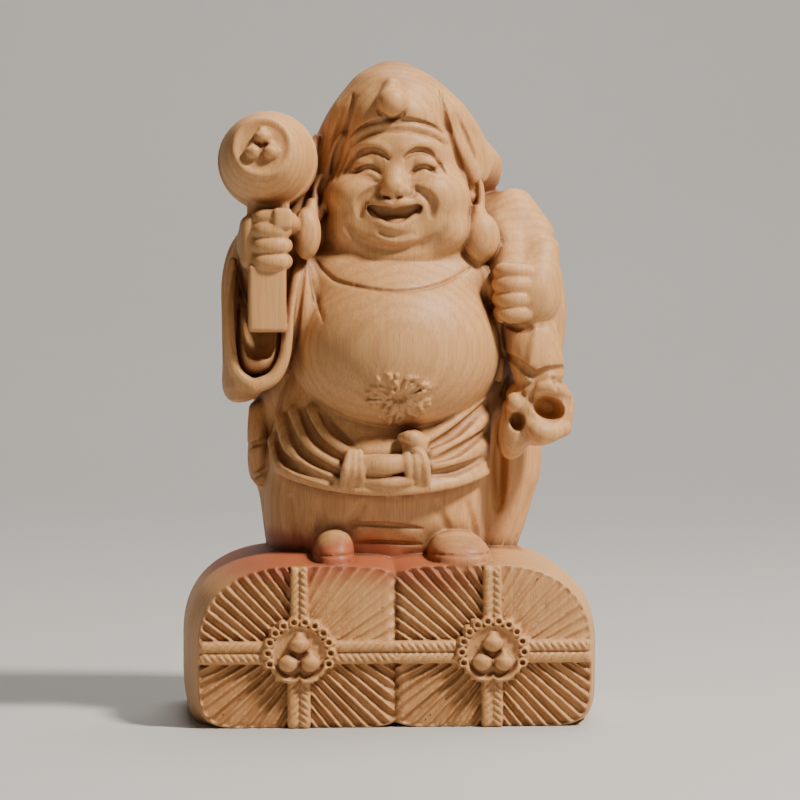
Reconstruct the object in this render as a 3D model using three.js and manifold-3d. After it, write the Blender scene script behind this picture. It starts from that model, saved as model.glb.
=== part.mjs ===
// A carved wooden figure of the laughing god of plenty. He stands on two rice bales that lie
// side by side, holds a mallet up in his right hand and a sack over his left shoulder.
// Everything is carved from one block, so the model is one closed solid, in millimetres.
// X runs to the viewer's right, Y to the back and Z up. The origin is the middle of the underside.

import * as THREE from "three";
import { mergeVertices } from "three/addons/utils/BufferGeometryUtils.js";
import { RoundedBoxGeometry } from "three/addons/geometries/RoundedBoxGeometry.js";
import Module from "manifold-3d";

const wasm = await Module();
wasm.setup();

// Driving dimensions
const FIGURE_HEIGHT = 150; // from the soles to the top of the cap
const BALE_WIDTH = 65.4;
const BALE_SPACING = 57; // between the middles of the two bales
const BALE_HEIGHT = 50.5;
const BALE_DEPTH = 80; // rim to rim
const BALE_SETBACK = 2; // the bales' middle lies this far behind the origin
const SOLE_SINK = 3.7; // the soles are carved this far below the bales' crowns

const WAIST_HEIGHT = 22.3; // height of a bale's widest level
const INNER_SPREAD = 3.3; // a bale is this much wider on the side that meets the other
const SEAM_DEPTH = 2.2; // of the groove between the two bales' ends
const RIM_SHARE = 0.88; // a bale's end, as a share of its widest section
const RIM_ROUNDING = 2;
const PLEATS = 8; // in each quarter of a bale's end
const PLEAT_DEPTH = 1.3;
const PLEAT_END = 1.5; // the pleats stop this far inside the rim
const PLEAT_FAN = 12; // the pleats of a quarter fan out from this far past the end's middle
const STRAND_WIDTH = 3.5; // one of the two strands that make a rope
const STRAND_PITCH = 10; // length of one twist of a strand
const STRAND_PROUD = 1.5; // how far a strand stands out of the bale's end
const ROSETTE_RADIUS = 8.6;
const ROSETTE_HEIGHT = 2.4;
const CURL_COUNT = 18; // little rings of straw round a rosette
const CURL_RADIUS = 1.5;
const JEWEL_RADIUS = 2.9;

const MALLET_RADIUS = 13.6;
const MALLET_END_RADIUS = 9.2;
const MALLET_LENGTH = 34;
const MALLET_TURN = [-20, 0, -10]; // in degrees about X, Y and Z, from a barrel that points forward
const HOOP_WIDTH = 4.4;
const HOOP_PROUD = 0.9;
const HANDLE_WIDTH = 10.4;
const HANDLE_DEPTH = 8;
const HANDLE_ROUNDING = 0.6;
const CARVED_JEWEL_RADIUS = 2.6;

// The figure's pose is written in hundredths of its own height, from the point between the soles
const UNIT = FIGURE_HEIGHT / 100;
const SOLE_Z = BALE_HEIGHT - SOLE_SINK;
const HANDLE_TOP = 74;
const HANDLE_END = 46.2;
const FRONT = new THREE.Vector3(0, -1, 0);
const WOOD = { color: 0xcda67a, roughness: 0.55, metalness: 0 };

const inFigure = ([x, y, z]) => new THREE.Vector3(x * UNIT, y * UNIT, SOLE_Z + z * UNIT);
const radians = THREE.MathUtils.degToRad;
const range = (count) => Array.from({ length: count }, (_, i) => i);

// Turns a closed geometry into a solid that can be joined and cut
function solid(geometry) {
  const bare = geometry.clone();
  bare.deleteAttribute("normal");
  bare.deleteAttribute("uv");
  const merged = mergeVertices(bare, 1e-4);
  const corners = [];
  for (let i = 0; i < merged.index.count; i += 3) {
    const [a, b, c] = range(3).map((k) => merged.index.getX(i + k));
    if (a !== b && b !== c && c !== a) corners.push(a, b, c);
  }
  return new wasm.Manifold(
    new wasm.Mesh({
      numProp: 3,
      vertProperties: merged.attributes.position.array,
      triVerts: new Uint32Array(corners),
    }),
  );
}

const joined = (solids) => wasm.Manifold.union(solids);

// Moves every vertex of a geometry to where `move` says
function reshape(geometry, move) {
  const position = geometry.attributes.position;
  const point = new THREE.Vector3();
  for (let i = 0; i < position.count; i++) {
    const moved = move(point.fromBufferAttribute(position, i));
    position.setXYZ(i, moved.x, moved.y, moved.z);
  }
  return geometry;
}

// An egg shape in the figure: centre, half-sizes, and a turn about X, Y and Z in degrees
function ball(centre, radii, { turn = [0, 0, 0], sides = 10, rings = 6 } = {}) {
  const rotation = new THREE.Euler(...turn.map(radians));
  const middle = inFigure(centre);
  const geometry = new THREE.SphereGeometry(UNIT, sides, rings)
    .rotateX(Math.PI / 2)
    .scale(...radii)
    .applyMatrix4(new THREE.Matrix4().makeRotationFromEuler(rotation))
    .translate(middle.x, middle.y, middle.z);
  return solid(geometry);
}

// A point of the unit circle, pushed out towards the corners of its square as power passes 2
function squircle(cos, sin, power) {
  const reach = (Math.abs(cos) ** power + Math.abs(sin) ** power) ** (1 / power);
  return [cos / reach, sin / reach];
}

// Reads a list of rows of numbers as a smooth function: share 0 is the first row, 1 the last
function smoothRows(rows) {
  const rowAt = (i) => rows[THREE.MathUtils.clamp(i, 0, rows.length - 1)];
  return (share) => {
    const i = Math.min(Math.floor(share * (rows.length - 1)), rows.length - 2);
    const t = share * (rows.length - 1) - i;
    return rowAt(i).map((value, k) => {
      const [before, next, after] = [rowAt(i - 1)[k], rowAt(i + 1)[k], rowAt(i + 2)[k]];
      const cubic = 3 * (value - next) + after - before;
      const square = 2 * before - 5 * value + 4 * next - after;
      return value + 0.5 * t * (next - before + t * (square + t * cubic));
    });
  };
}

// A form in the figure given by level sections: [z, centre x, centre y, half width, half depth].
// `hem` lifts the sections, by the share of their half width
function loft(rows, { power = 2, sides = 24, steps = 2 * rows.length, hem = () => 0 } = {}) {
  const section = smoothRows(rows);
  return solid(
    reshape(new THREE.CylinderGeometry(1, 1, 1, sides, steps), (point) => {
      const share = point.y + 0.5;
      const [z, x, y, halfWidth, halfDepth] = section(share);
      const onCap = Math.hypot(point.x, point.z) < 0.5;
      const [across, back] = onCap ? [0, 0] : squircle(point.x, -point.z, power);
        return inFigure([x + across * halfWidth, y + back * halfDepth, z + hem(across)]);
    }),
  );
}

// A rounded bar in the figure, along a smooth line, with a half-thickness for each of its points.
// `depth` is its thickness towards the viewer, as a share of its thickness across
function limb(points, radii, { depth = 1, sides = 6, steps = points.length + 1, caps = 1 } = {}) {
  const line = new THREE.CatmullRomCurve3(points.map(inFigure));
  const radiusAt = smoothRows(radii.map((radius) => [radius * UNIT]));
  return solid(
    reshape(new THREE.CapsuleGeometry(1, 1, caps, sides, steps), (point) => {
      const share = THREE.MathUtils.clamp(point.y + 0.5, 0, 1);
      const [radius] = radiusAt(share);
      const along = line.getTangent(share);
      const across = new THREE.Vector3().crossVectors(along, FRONT).normalize();
      const out = new THREE.Vector3().crossVectors(across, along);
      return line
        .getPoint(share)
        .addScaledVector(along, (point.y + 0.5 - share) * radius)
        .addScaledVector(across, point.x * radius)
        .addScaledVector(out, point.z * radius * depth);
    }),
  );
}

// Distance from a bale's axis to its widest outline. `out` points away from the other bale
function baleReach(out, up) {
  const halfWidth = BALE_WIDTH / 2 + (out > 0 ? 0 : INNER_SPREAD);
  const halfHeight = up > 0 ? BALE_HEIGHT - WAIST_HEIGHT : WAIST_HEIGHT * 1.12;
  const power = up < 0 || out < 0 ? 6 : 2.4;
  const reach = (Math.abs(out) / halfWidth) ** power + (Math.abs(up) / halfHeight) ** power;
  return reach ** (-1 / power);
}

// A point on a bale's front end, given outwards and upwards from the end's middle
function onEnd(side, out, up) {
  const x = side * (BALE_SPACING / 2 + out);
  return new THREE.Vector3(x, BALE_SETBACK - BALE_DEPTH / 2, WAIST_HEIGHT + up);
}

// The grooves between the pleats that fan out over one quarter of a bale's front end
function pleatGrooves(side, outward, upward) {
  const rimAt = (out, up) => {
    const rim = RIM_SHARE * baleReach(out, up);
    return out < 0 ? Math.min(rim, (BALE_SPACING / 2 - SEAM_DEPTH / 2) / -out) : rim;
  };
  const lowest = Math.atan2(PLEAT_FAN, PLEAT_FAN + rimAt(outward, 0));
  const highest = Math.atan2(PLEAT_FAN + rimAt(0, upward), PLEAT_FAN);
  const spacing = (highest - lowest) / PLEATS;
  return range(PLEATS).map((i) => {
    const angle = lowest + (i + 0.5) * spacing;
    const at = (distance) => {
      const out = outward * (Math.cos(angle) * distance - PLEAT_FAN);
      const up = upward * (Math.sin(angle) * distance - PLEAT_FAN);
      const fromMiddle = Math.hypot(out, up);
      const inside = fromMiddle + PLEAT_END < rimAt(out / fromMiddle, up / fromMiddle);
      return { point: onEnd(side, out, up), inside };
    };
    const start = PLEAT_FAN / Math.min(Math.cos(angle), Math.sin(angle)) + 0.5;
    let end = start + 1;
    while (at(end).inside) end += 1;
    return groove(at(start).point, at(end).point, start * spacing, end * spacing);
  });
}

// A groove with a sharp floor, along the face of a bale's end
function groove(from, to, startWidth, endWidth) {
  const along = to.clone().sub(from);
  const radiusOf = (width) => width / Math.sqrt(3);
  const depth = PLEAT_DEPTH / radiusOf((startWidth + endWidth) / 2) / 1.5;
  const across = new THREE.Vector3().crossVectors(along, FRONT).normalize();
  const out = new THREE.Vector3().crossVectors(across, along).normalize();
  const bar = new THREE.CylinderGeometry(radiusOf(endWidth), radiusOf(startWidth), along.length(), 3)
    .rotateY(Math.PI)
    .scale(1, 1, depth)
    .applyMatrix4(new THREE.Matrix4().makeBasis(across, along.clone().normalize(), out))
    .translate(...from.clone().add(to).multiplyScalar(0.5).toArray());
  return solid(bar);
}

// One bale, lying along Y
function bale(side) {
  const rim = BALE_DEPTH / 2;
  const profile = [
    [0, -rim],
    [RIM_SHARE, -rim],
    [RIM_SHARE + 0.04, -rim + RIM_ROUNDING],
    [1, -rim * 0.5],
    [1, rim * 0.5],
    [RIM_SHARE + 0.04, rim - RIM_ROUNDING],
    [RIM_SHARE, rim],
    [0, rim],
  ].map(([share, y]) => new THREE.Vector2(share, y));
  const body = reshape(new THREE.LatheGeometry(profile, 24), (point) => {
    const share = Math.hypot(point.x, point.z);
    const reach = share ? baleReach((side * point.x) / share, point.z / share) : 0;
    return new THREE.Vector3(
      (side * BALE_SPACING) / 2 + point.x * reach,
      BALE_SETBACK + point.y,
      WAIST_HEIGHT + point.z * reach,
    );
  });
  const grooves = [-1, 1].flatMap((out) => [-1, 1].flatMap((up) => pleatGrooves(side, out, up)));
  return solid(body).subtract(joined(grooves));
}

// The groove between the two bales' ends
function seam() {
  const top = onEnd(0, 0, BALE_HEIGHT - WAIST_HEIGHT).setX(0);
  return groove(onEnd(0, 0, -WAIST_HEIGHT - 1).setX(0), top, 2 * SEAM_DEPTH, 2 * SEAM_DEPTH);
}

// Two twisted strands side by side, from one point of the bales' ends to another. Their knuckles
// stand out by turns, so that the pair reads as a plait
function rope(from, to) {
  const knuckles = 2 * Math.round(from.distanceTo(to) / STRAND_PITCH);
  const run = to.clone().sub(from).normalize();
  const across = new THREE.Vector3().crossVectors(run, FRONT).normalize();
  return solid(
    reshape(new THREE.CylinderGeometry(1, 1, 1, 6, knuckles), (point) => {
      const share = point.y + 0.5;
      const swell = Math.round(share * knuckles) % 2 ? 1 : 0.55;
      const atCrest = Math.abs(point.x) > 0.1;
      const proud = point.z > 0.1 ? (atCrest ? swell : 0.1) * STRAND_PROUD : -STRAND_PROUD;
      return from
        .clone()
        .lerp(to, share)
        .addScaledVector(across, point.x * STRAND_WIDTH)
        .addScaledVector(FRONT, proud);
    }),
  );
}

// The ropes that cross on the bales' ends: one over both, and an upright one on each
function ropes() {
  const reach = (BALE_SPACING + RIM_SHARE * BALE_WIDTH) / 2;
  const over = rope(onEnd(0, 0, 0).setX(-reach), onEnd(0, 0, 0).setX(reach));
  const top = (BALE_HEIGHT - WAIST_HEIGHT) * RIM_SHARE;
  const upright = [-1, 1].map((side) => rope(onEnd(side, 0, -WAIST_HEIGHT), onEnd(side, 0, top)));
  return [over, ...upright];
}

// Three jewels in a triangle, flat in X and Z with the lone one towards -Z
function threeJewels(radius) {
  const reach = 2 / Math.sqrt(3); // from the middle, so that they touch each other
  return [90, 210, 330].map((degrees) =>
    new THREE.SphereGeometry(radius, 6, 4).translate(
      reach * radius * Math.cos(radians(degrees)),
      0,
      -reach * radius * Math.sin(radians(degrees)),
    ),
  );
}

// A straw rosette in the middle of a bale's end, with three jewels on it
function rosette(side) {
  const disc = new THREE.LatheGeometry(
    [
      [0, -ROSETTE_HEIGHT],
      [ROSETTE_RADIUS + CURL_RADIUS, -ROSETTE_HEIGHT],
      [ROSETTE_RADIUS + CURL_RADIUS, 0.5 * ROSETTE_HEIGHT],
      [ROSETTE_RADIUS, 0.9 * ROSETTE_HEIGHT],
        [0, 1.1 * ROSETTE_HEIGHT],
    ].map((point) => new THREE.Vector2(...point)),
    2 * CURL_COUNT,
  );
  const curled = reshape(disc, (point) => {
    const turn = Math.atan2(point.z, point.x) / (2 * Math.PI);
    const between = Math.round(turn * 2 * CURL_COUNT) % 2 !== 0;
    const inRing = Math.hypot(point.x, point.z) > ROSETTE_RADIUS + 0.5;
    const pull = between && inRing ? 1 - (1.6 * CURL_RADIUS) / (ROSETTE_RADIUS + CURL_RADIUS) : 1;
    return new THREE.Vector3(point.x * pull, point.y, point.z * pull);
  });
  const jewels = threeJewels(JEWEL_RADIUS).map((jewel) => jewel.translate(0, 1.1 * ROSETTE_HEIGHT, 0));
  const middle = onEnd(side, 0, 0);
  return [curled, ...jewels].map((geometry) =>
    solid(geometry.rotateX(Math.PI).translate(...middle.toArray())),
  );
}

// The wide trousers, arched open between the boots, and the coat's skirt over them
function lowerBody() {
  const trousers = loft(
    [
      [-2, -2, 1, 20.6, 15],
      [4, -2.2, 0.5, 22, 16.2],
      [12, -2.3, 0, 22.4, 17],
      [22, -1.8, 0, 22, 16],
    ],
    { power: 2.5, sides: 16, steps: 3 },
  );
  const skirt = loft(
    [
      [14.2, -1.2, -1, 22.8, 20],
      [17, -1.2, -1, 22.6, 18.8],
      [18.8, -1.2, -1, 22.8, 20],
      [21.4, -1.1, -1, 22.2, 18.2],
      [23.2, -1, -1.2, 22.4, 19],
      [25.8, -0.8, -1.4, 21.6, 16.8],
      [32, -0.6, -1, 21, 16.6],
    ],
    { power: 2.3, sides: 18, steps: 6, hem: (across) => 4.2 * across ** 2 },
  );
  const arch = ball([1, -17, 1], [9, 6, 7.4], { sides: 12 });
  const boots = [
    ball([-11.6, -15.5, 3.4], [3.8, 9, 4.4]),
    ball([13.4, -16, 2.8], [5.6, 9, 4.6], { turn: [0, 0, 22] }),
  ];
  return [trousers.subtract(arch), skirt, ...boots];
}

// The bare belly under its collar, and the coat behind it: one fall of cloth from the shoulders to
// the ground, whose edges lie along the belly
function trunk() {
  const coat = loft(
    [
      [-1, 1.2, 9, 24.8, 13.5],
      [6, 2, 9.4, 26.6, 14.8],
      [14, 2.2, 9.8, 29, 15.4],
      [22, 2.2, 9.6, 29.8, 15.5],
      [30, 1.8, 8, 28.6, 15.8],
      [40, 0.8, 4, 26.6, 16.4],
      [50, 0.6, 1, 25.4, 15.2],
      [57, 0.8, 0, 24, 14],
      [61.4, 0.8, -1, 20, 12],
      [64, 1, -2, 12, 8],
    ],
    { power: 2.3, sides: 18, steps: 9 },
  );
  const collar = [[-15.4, -8.4, 61.6], [-9, -14.2, 58], [0.6, -17, 56.6], [10, -14.2, 57.8], [16, -8.4, 61]];
  const lapels = [
    [[-16.4, -9, 60.4], [-16, -13.4, 53], [-18.4, -14, 46], [-20.6, -11, 38]],
    [[17.4, -9, 60], [20.6, -10, 52], [22.8, -8, 44], [22, -7, 36]],
  ].map((line) => limb(line, [1.4, 1.6, 1.6, 1.2], { sides: 5, steps: 3 }));
  return [
    coat,
    ball([1.2, -6, 43.4], [21.2, 19.5, 17.8], { sides: 18, rings: 10 }),
    limb(collar, [2.4, 2.4, 2.4, 2.4, 2.4], { depth: 0.8, steps: 5 }),
    ...lapels,
  ];
}

// The belt, knotted under the belly: its band, and a bunch of cloth either side of it
function belt() {
  const front = -20.4;
  return [
    limb([[-6, front, 19.4], [-1.2, front - 0.6, 19.2], [4, front, 19.4]], [2, 2.2, 2], { depth: 0.8 }),
    ball([-7.6, front, 19.4], [2.7, 2.4, 3.8], { sides: 8 }),
    ball([4.6, front, 20], [2.6, 2.4, 4.6], { sides: 8 }),
    ball([3.8, front + 0.4, 24.6], [2.4, 2.2, 2], { sides: 8, rings: 4 }),
  ];
}

// The head looks a little to its right. What is on it is placed from its upright axis
const HEAD_X = 1.5;
const HEAD_Y = -4.6;
const HEAD_TURN = radians(-6);
const EYE_SPACING = 5.5;
const EYE_LINE = 78.4;
const NOSE_LINE = 74.8;
const MOUTH_LINE = 70;

function onHead([x, y, z]) {
  const [cos, sin] = [Math.cos(HEAD_TURN), Math.sin(HEAD_TURN)];
  return [HEAD_X + x * cos - y * sin, HEAD_Y + x * sin + y * cos, z];
}

// The head, with its double chin and long ears
function head() {
  const skull = loft(
    [
      [57.6, 0, 0.4, 8.5, 7.5],
      [60, 0, 0, 12.6, 11.2],
      [62.8, 0, -0.2, 13, 11.8],
      [66.4, 0, -0.6, 14, 12.2],
      [71.4, 0, -0.2, 14, 12.6],
      [77.5, 0, 0.2, 13.4, 12.2],
      [83.5, 0, 0.6, 11.8, 11.4],
    ].map(([z, x, y, ...half]) => [z, ...onHead([x, y]).slice(0, 2), ...half]),
    { sides: 16, steps: 6 },
  );
  return [skull, ...face(), ...ears()];
}

function face() {
  const pairs = [-1, 1].flatMap((side) => [
    ball(onHead([6.6 * side, -4.6, NOSE_LINE - 2]), [8, 8, 6.6], { sides: 10, rings: 5 }),
    limb(
      [[2.4, -11.4, 2], [EYE_SPACING, -10.6, 3.6], [9.4, -7.6, 1.4]].map(([x, y, z]) =>
        onHead([x * side, y, EYE_LINE + z]),
      ),
      [0.6, 0.8, 0.5],
      { sides: 4, steps: 3 },
    ),
  ]);
  const nose = limb(
    [[0, -11.2, EYE_LINE + 1], [0, -13, EYE_LINE - 2], [0, -14.6, NOSE_LINE]].map(onHead),
    [1.2, 1.8, 2.7],
    { depth: 0.8 },
  );
  const lip = limb(
    [[-4, -10.8, 0.2], [0, -12.6, -2.2], [4, -10.8, 0.2]].map(([x, y, z]) => onHead([x, y, MOUTH_LINE + z])),
    [0.9, 1.2, 0.9],
  );
  const chin = ball(onHead([0, -9.6, MOUTH_LINE - 4.4]), [6, 3.6, 3], { sides: 10 });
  return [...pairs, nose, lip, chin];
}

// What is hollowed out of the face: the laughing mouth and the eyes' upper creases
function faceHollows() {
  const eyes = [-1, 1].map((side) =>
    limb(
      [[2.9, -12, -0.6], [EYE_SPACING, -12.2, 0.7], [8.4, -10.2, -0.7]].map(([x, y, z]) =>
        onHead([x * side, y, EYE_LINE + z]),
      ),
      [0.4, 0.7, 0.4],
      { sides: 4, steps: 3 },
    ),
  );
  const mouth = limb(
    [[-5, -12, 1], [0, -13, -0.4], [5, -12, 1]].map(([x, y, z]) => onHead([x, y, MOUTH_LINE + z])),
    [0.5, 1.8, 0.5],
    { steps: 4 },
  );
  return [...eyes, mouth];
}

// Long ears with heavy lobes
function ears() {
  return [
    limb([[16.6, -3, 77], [18.4, -3.6, 72.8], [18.4, -5, 68]], [1.8, 1.9, 1.8], { steps: 2 }),
    ball([18.7, -6.4, 64.8], [3.6, 3.2, 5.1]),
    limb([[-12.6, -5, 76.6], [-14.6, -6.4, 73], [-15.2, -8.4, 70]], [1.8, 1.8, 1.8], { steps: 2 }),
    ball([-15.8, -10.5, 66], [3, 3.2, 5.7]),
  ];
}

// The soft cap: its crown falls wide behind the ears, with a puffed front over a rolled edge
function cap() {
  const crown = loft(
    [
      [72.6, 4.4, 8, 17.8, 8],
      [78, 4.8, 5.6, 18.9, 11.4],
      [81, 4.4, 4.2, 18.7, 12.3],
      [84.4, 3.1, 2.4, 17, 13],
      [88, 2.6, 0.3, 15.4, 13.6],
      [91.4, 2, -1.6, 12.9, 13],
      [94.6, 1.6, -2.6, 10.1, 11],
      [97.4, 1, -3, 6.9, 7.8],
      [99.7, 0.8, -3, 2, 2.6],
    ],
    { sides: 20, steps: 8 },
  );
  const rolledEdge = [[-10.4, -11.8, 82.6], [0.8, -17, 86], [12.2, -11.8, 82.2]];
  return [
    crown,
    ball([1.2, -7, 89.6], [11.2, 10, 5.2], { sides: 14, rings: 6 }),
    limb(rolledEdge, [0.9, 1, 0.9], { steps: 6 }),
    ball([0.2, -16, 91.4], [2.6, 3, 3.2], { sides: 8 }),
  ];
}

// A fist seen from the front, with its four fingers one above the other
function fist([x, y, z], [halfWidth, halfDepth, halfHeight]) {
  const rows = range(9).map((i) => {
    const crease = i % 2 === 0 ? 0.8 : 0;
    const atEnd = i === 0 || i === 8 ? 1 : 0;
    const height = z - halfHeight + (halfHeight * i) / 4;
    return [height, x, y + crease / 2, halfWidth - atEnd, halfDepth - crease / 2 - atEnd];
  });
  return loft(rows, { power: 3, sides: 8, steps: 8 });
}

// The raised right arm: a wide hanging sleeve, and the fist that comes out of it
function rightArm() {
  const sleeve = loft(
    [
      [31.8, -30.2, -5, 2.2, 8],
      [34.8, -29, -5, 4, 10.6],
      [40, -27.2, -4, 6, 12.6],
      [48, -26.4, -3, 6.9, 13],
      [56, -25.7, -2, 7.6, 12],
      [62, -24.8, -1, 7.2, 10],
      [66, -24.2, 0, 5.4, 8],
      [69, -24, 0, 3, 5],
    ],
    { power: 2.6, sides: 14, steps: 7 },
  );
  const hollow = limb([[-26.4, -17, 43.6], [-25.8, -17, 57]], [3.8, 3.8], { depth: 1.4, sides: 8 });
  const lining = limb(
    [[-30, -14.4, 50], [-29.4, -15, 42], [-26.6, -15.4, 39], [-23.6, -15.2, 41.4], [-22.6, -14.6, 45]],
    [0.9, 0.9, 0.9, 0.9, 0.9],
    { steps: 5 },
  );
  return [
    sleeve.subtract(hollow),
    lining,
    limb([[-14, 3, 57], [-24, 0, 59]], [7.6, 7], { sides: 8, steps: 1 }),
    fist([-25, -15.8, 64], [5.2, 6, 6.1]),
    limb([[-19.6, -17.5, 67], [-22, -20.6, 68.6]], [2, 1.9], { steps: 2 }),
  ];
}

// The mallet: a handle that comes down out of the fist, and a barrel head that points at the viewer
function mallet() {
  const handleTop = inFigure([-24.8, -16.6, HANDLE_TOP]);
  const handleEnd = inFigure([-24.8, -16.6, HANDLE_END]);
  const length = handleTop.z - handleEnd.z;
  const handle = new RoundedBoxGeometry(HANDLE_WIDTH, HANDLE_DEPTH, length, 1, HANDLE_ROUNDING)
    .translate(handleEnd.x, handleEnd.y, handleEnd.z + length / 2);
  const half = MALLET_LENGTH / 2;
  const bulge = (share) =>
    MALLET_END_RADIUS + (MALLET_RADIUS - MALLET_END_RADIUS) * (1 - share ** 2) ** 0.7;
  const hoop = HOOP_WIDTH / 2;
  const profile = [
    [0, -half],
    [MALLET_END_RADIUS, -half],
    [bulge(0.6), -0.6 * half],
    [bulge(0.2), -hoop],
    [MALLET_RADIUS + HOOP_PROUD, -hoop],
    [MALLET_RADIUS + HOOP_PROUD, hoop],
    [bulge(0.2), hoop],
    [bulge(0.6), 0.6 * half],
    [MALLET_END_RADIUS, half],
    [0, half],
  ].map((point) => new THREE.Vector2(...point));
  const jewels = threeJewels(CARVED_JEWEL_RADIUS).map((jewel) =>
    jewel.rotateX(Math.PI).translate(0, -half, 0),
  );
  const turned = new THREE.Matrix4().makeRotationFromEuler(new THREE.Euler(...MALLET_TURN.map(radians)));
  const middle = inFigure([-24.1, -11.4, 79.6]);
  const barrel = [new THREE.LatheGeometry(profile, 16), ...jewels].map((geometry) =>
    geometry.applyMatrix4(turned).translate(...middle.toArray()),
  );
  return [handle, ...barrel].map(solid);
}

// The left arm's sleeve, and the fist that grips the sack's neck
function leftArm() {
  const sleeve = loft(
    [
      [37, 30.4, -2.4, 3.9, 7],
      [43, 29.8, -2, 5.6, 9.4],
      [50, 29.3, -1.5, 6.7, 10.4],
      [57, 28.3, -1, 6.9, 10.4],
      [62.6, 27.2, 0, 6.5, 9.4],
      [67.5, 26, 0.5, 3.6, 5],
    ],
    { sides: 12, steps: 5 },
  );
  return [sleeve, fist([26.1, -13, 53.3], [6.3, 5.6, 5.7])];
}

// The sack on his back, its neck that passes through the left fist, and its tied mouth below
function sack() {
  const hollow = ball([31.2, -17.4, 30.8], [2.5, 3, 2.1], { sides: 8, rings: 4 });
  return [
    ball([5, 14, 46], [25, 15.4, 23], { sides: 14, rings: 8 }),
    ball([12, 11, 60], [19, 12, 16], { sides: 10, rings: 6 }),
    limb([[20.4, 8, 66.2], [23.8, -1, 64], [24.6, -9, 57]], [8.6, 7, 5], { sides: 8, steps: 2 }),
    limb([[27.2, -11, 50], [28.4, -12, 43], [29.4, -12, 37.6]], [5.6, 5, 4.2], { sides: 8, steps: 3 }),
    ball([30, -11, 30.6], [6.6, 6, 7.2]).subtract(hollow),
    limb([[25.4, -13.4, 37.4], [23.8, -13.6, 30.6], [24, -12.8, 23.4]], [1.6, 2.6, 2]),
    limb([[26.4, -14, 27.4], [30.6, -14.8, 25.6], [35, -13, 28]], [1.6, 2, 1.6]),
  ];
}

function figure() {
  const bales = [bale(-1), bale(1)];
  const raised = [...ropes(), ...rosette(-1), ...rosette(1)];
  const base = joined([joined(bales).subtract(seam()), ...raised]);
  const forms = [lowerBody, trunk, belt, head, cap, rightArm, mallet, leftArm, sack];
  const body = joined(forms.flatMap((make) => make()));
  const carved = body.subtract(joined(faceHollows()));
  const span = 4 * FIGURE_HEIGHT;
  const ground = solid(new THREE.BoxGeometry(span, span, span).translate(0, 0, -span / 2));
  return joined([base, carved]).subtract(ground);
}

function meshOf(name, shape) {
  const { vertProperties, triVerts } = shape.getMesh();
  const geometry = new THREE.BufferGeometry();
  geometry.setAttribute("position", new THREE.BufferAttribute(vertProperties, 3));
  geometry.setIndex(new THREE.BufferAttribute(triVerts, 1));
  geometry.computeVertexNormals();
  const mesh = new THREE.Mesh(geometry, new THREE.MeshStandardMaterial(WOOD));
  mesh.name = name;
  return mesh;
}

const group = new THREE.Group();
group.add(meshOf("daikoku_figure", figure()));
export default group;
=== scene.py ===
"""The looks of a carved wooden figure that stands on two rice bales.

The whole carving is one piece, sculpted as a field of distances: forms are blended together and
lines are carved into them, then the field's surface is made into a mesh. Lengths of the sculpture
are in millimetres. The figure's pose is written in hundredths of its height, from the point between
its soles, as (x to the viewer's right, y to the back, z up).
"""

import math
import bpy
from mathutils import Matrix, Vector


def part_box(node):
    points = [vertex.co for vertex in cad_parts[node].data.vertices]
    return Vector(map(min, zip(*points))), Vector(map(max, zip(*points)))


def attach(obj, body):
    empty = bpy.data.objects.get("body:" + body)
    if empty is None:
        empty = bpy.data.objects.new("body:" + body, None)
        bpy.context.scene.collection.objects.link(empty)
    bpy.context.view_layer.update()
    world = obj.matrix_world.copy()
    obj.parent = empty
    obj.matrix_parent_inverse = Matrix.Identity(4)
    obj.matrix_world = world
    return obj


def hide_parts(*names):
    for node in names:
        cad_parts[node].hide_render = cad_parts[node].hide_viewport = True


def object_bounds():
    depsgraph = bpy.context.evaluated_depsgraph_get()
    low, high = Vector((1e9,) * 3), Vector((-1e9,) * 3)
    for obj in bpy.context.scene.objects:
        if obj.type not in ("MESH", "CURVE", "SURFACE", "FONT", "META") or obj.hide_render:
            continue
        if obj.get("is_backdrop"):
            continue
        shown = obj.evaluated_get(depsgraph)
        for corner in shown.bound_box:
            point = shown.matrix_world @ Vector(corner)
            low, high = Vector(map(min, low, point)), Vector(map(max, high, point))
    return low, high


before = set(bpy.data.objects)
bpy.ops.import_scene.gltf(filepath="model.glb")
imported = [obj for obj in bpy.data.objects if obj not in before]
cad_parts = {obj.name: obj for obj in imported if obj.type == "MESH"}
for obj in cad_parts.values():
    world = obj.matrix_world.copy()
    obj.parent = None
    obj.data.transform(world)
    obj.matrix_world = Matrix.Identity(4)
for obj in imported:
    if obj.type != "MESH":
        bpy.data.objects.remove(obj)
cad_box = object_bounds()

from concurrent.futures import ThreadPoolExecutor

import bpy
import numpy as np
from mathutils import Euler, Vector

NODE = "daikoku_figure"
TOTAL_HEIGHT = 196.35  # millimetres from the underside to the top of the cap
FIGURE_HEIGHT = 150.0
BALE_WIDTH = 65.4
BALE_SPACING = 57.0
BALE_HEIGHT = 50.5
BALE_DEPTH = 80.0
BALE_SETBACK = 2.0
SOLE_SINK = 3.7
WAIST_HEIGHT = 22.3
INNER_SPREAD = 3.3
RIM_SHARE = 0.88

UNIT = FIGURE_HEIGHT / 100
SOLE_Z = BALE_HEIGHT - SOLE_SINK
MILLIMETRE = (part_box(NODE)[1].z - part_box(NODE)[0].z) / TOTAL_HEIGHT  # in metres of the frame

CELL = 0.45  # size of the sculpture's finest cells
COARSE_CELL = 2.0
FAR = 40.0  # the distance of a point that no form is near
MOST_FACES = 190000
HALF_WIDTH, HALF_DEPTH, MARGIN_BELOW, MARGIN_ABOVE = 64.0, 47.0, 2.0, 3.0  # of the sculpture's grid
FRONTMOST, REARMOST, PROBE_STEP = -46.0, 40.0, 0.5  # of the search for the front surface
NO_RELIEF = -9.0  # a height that no relief reaches


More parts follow.
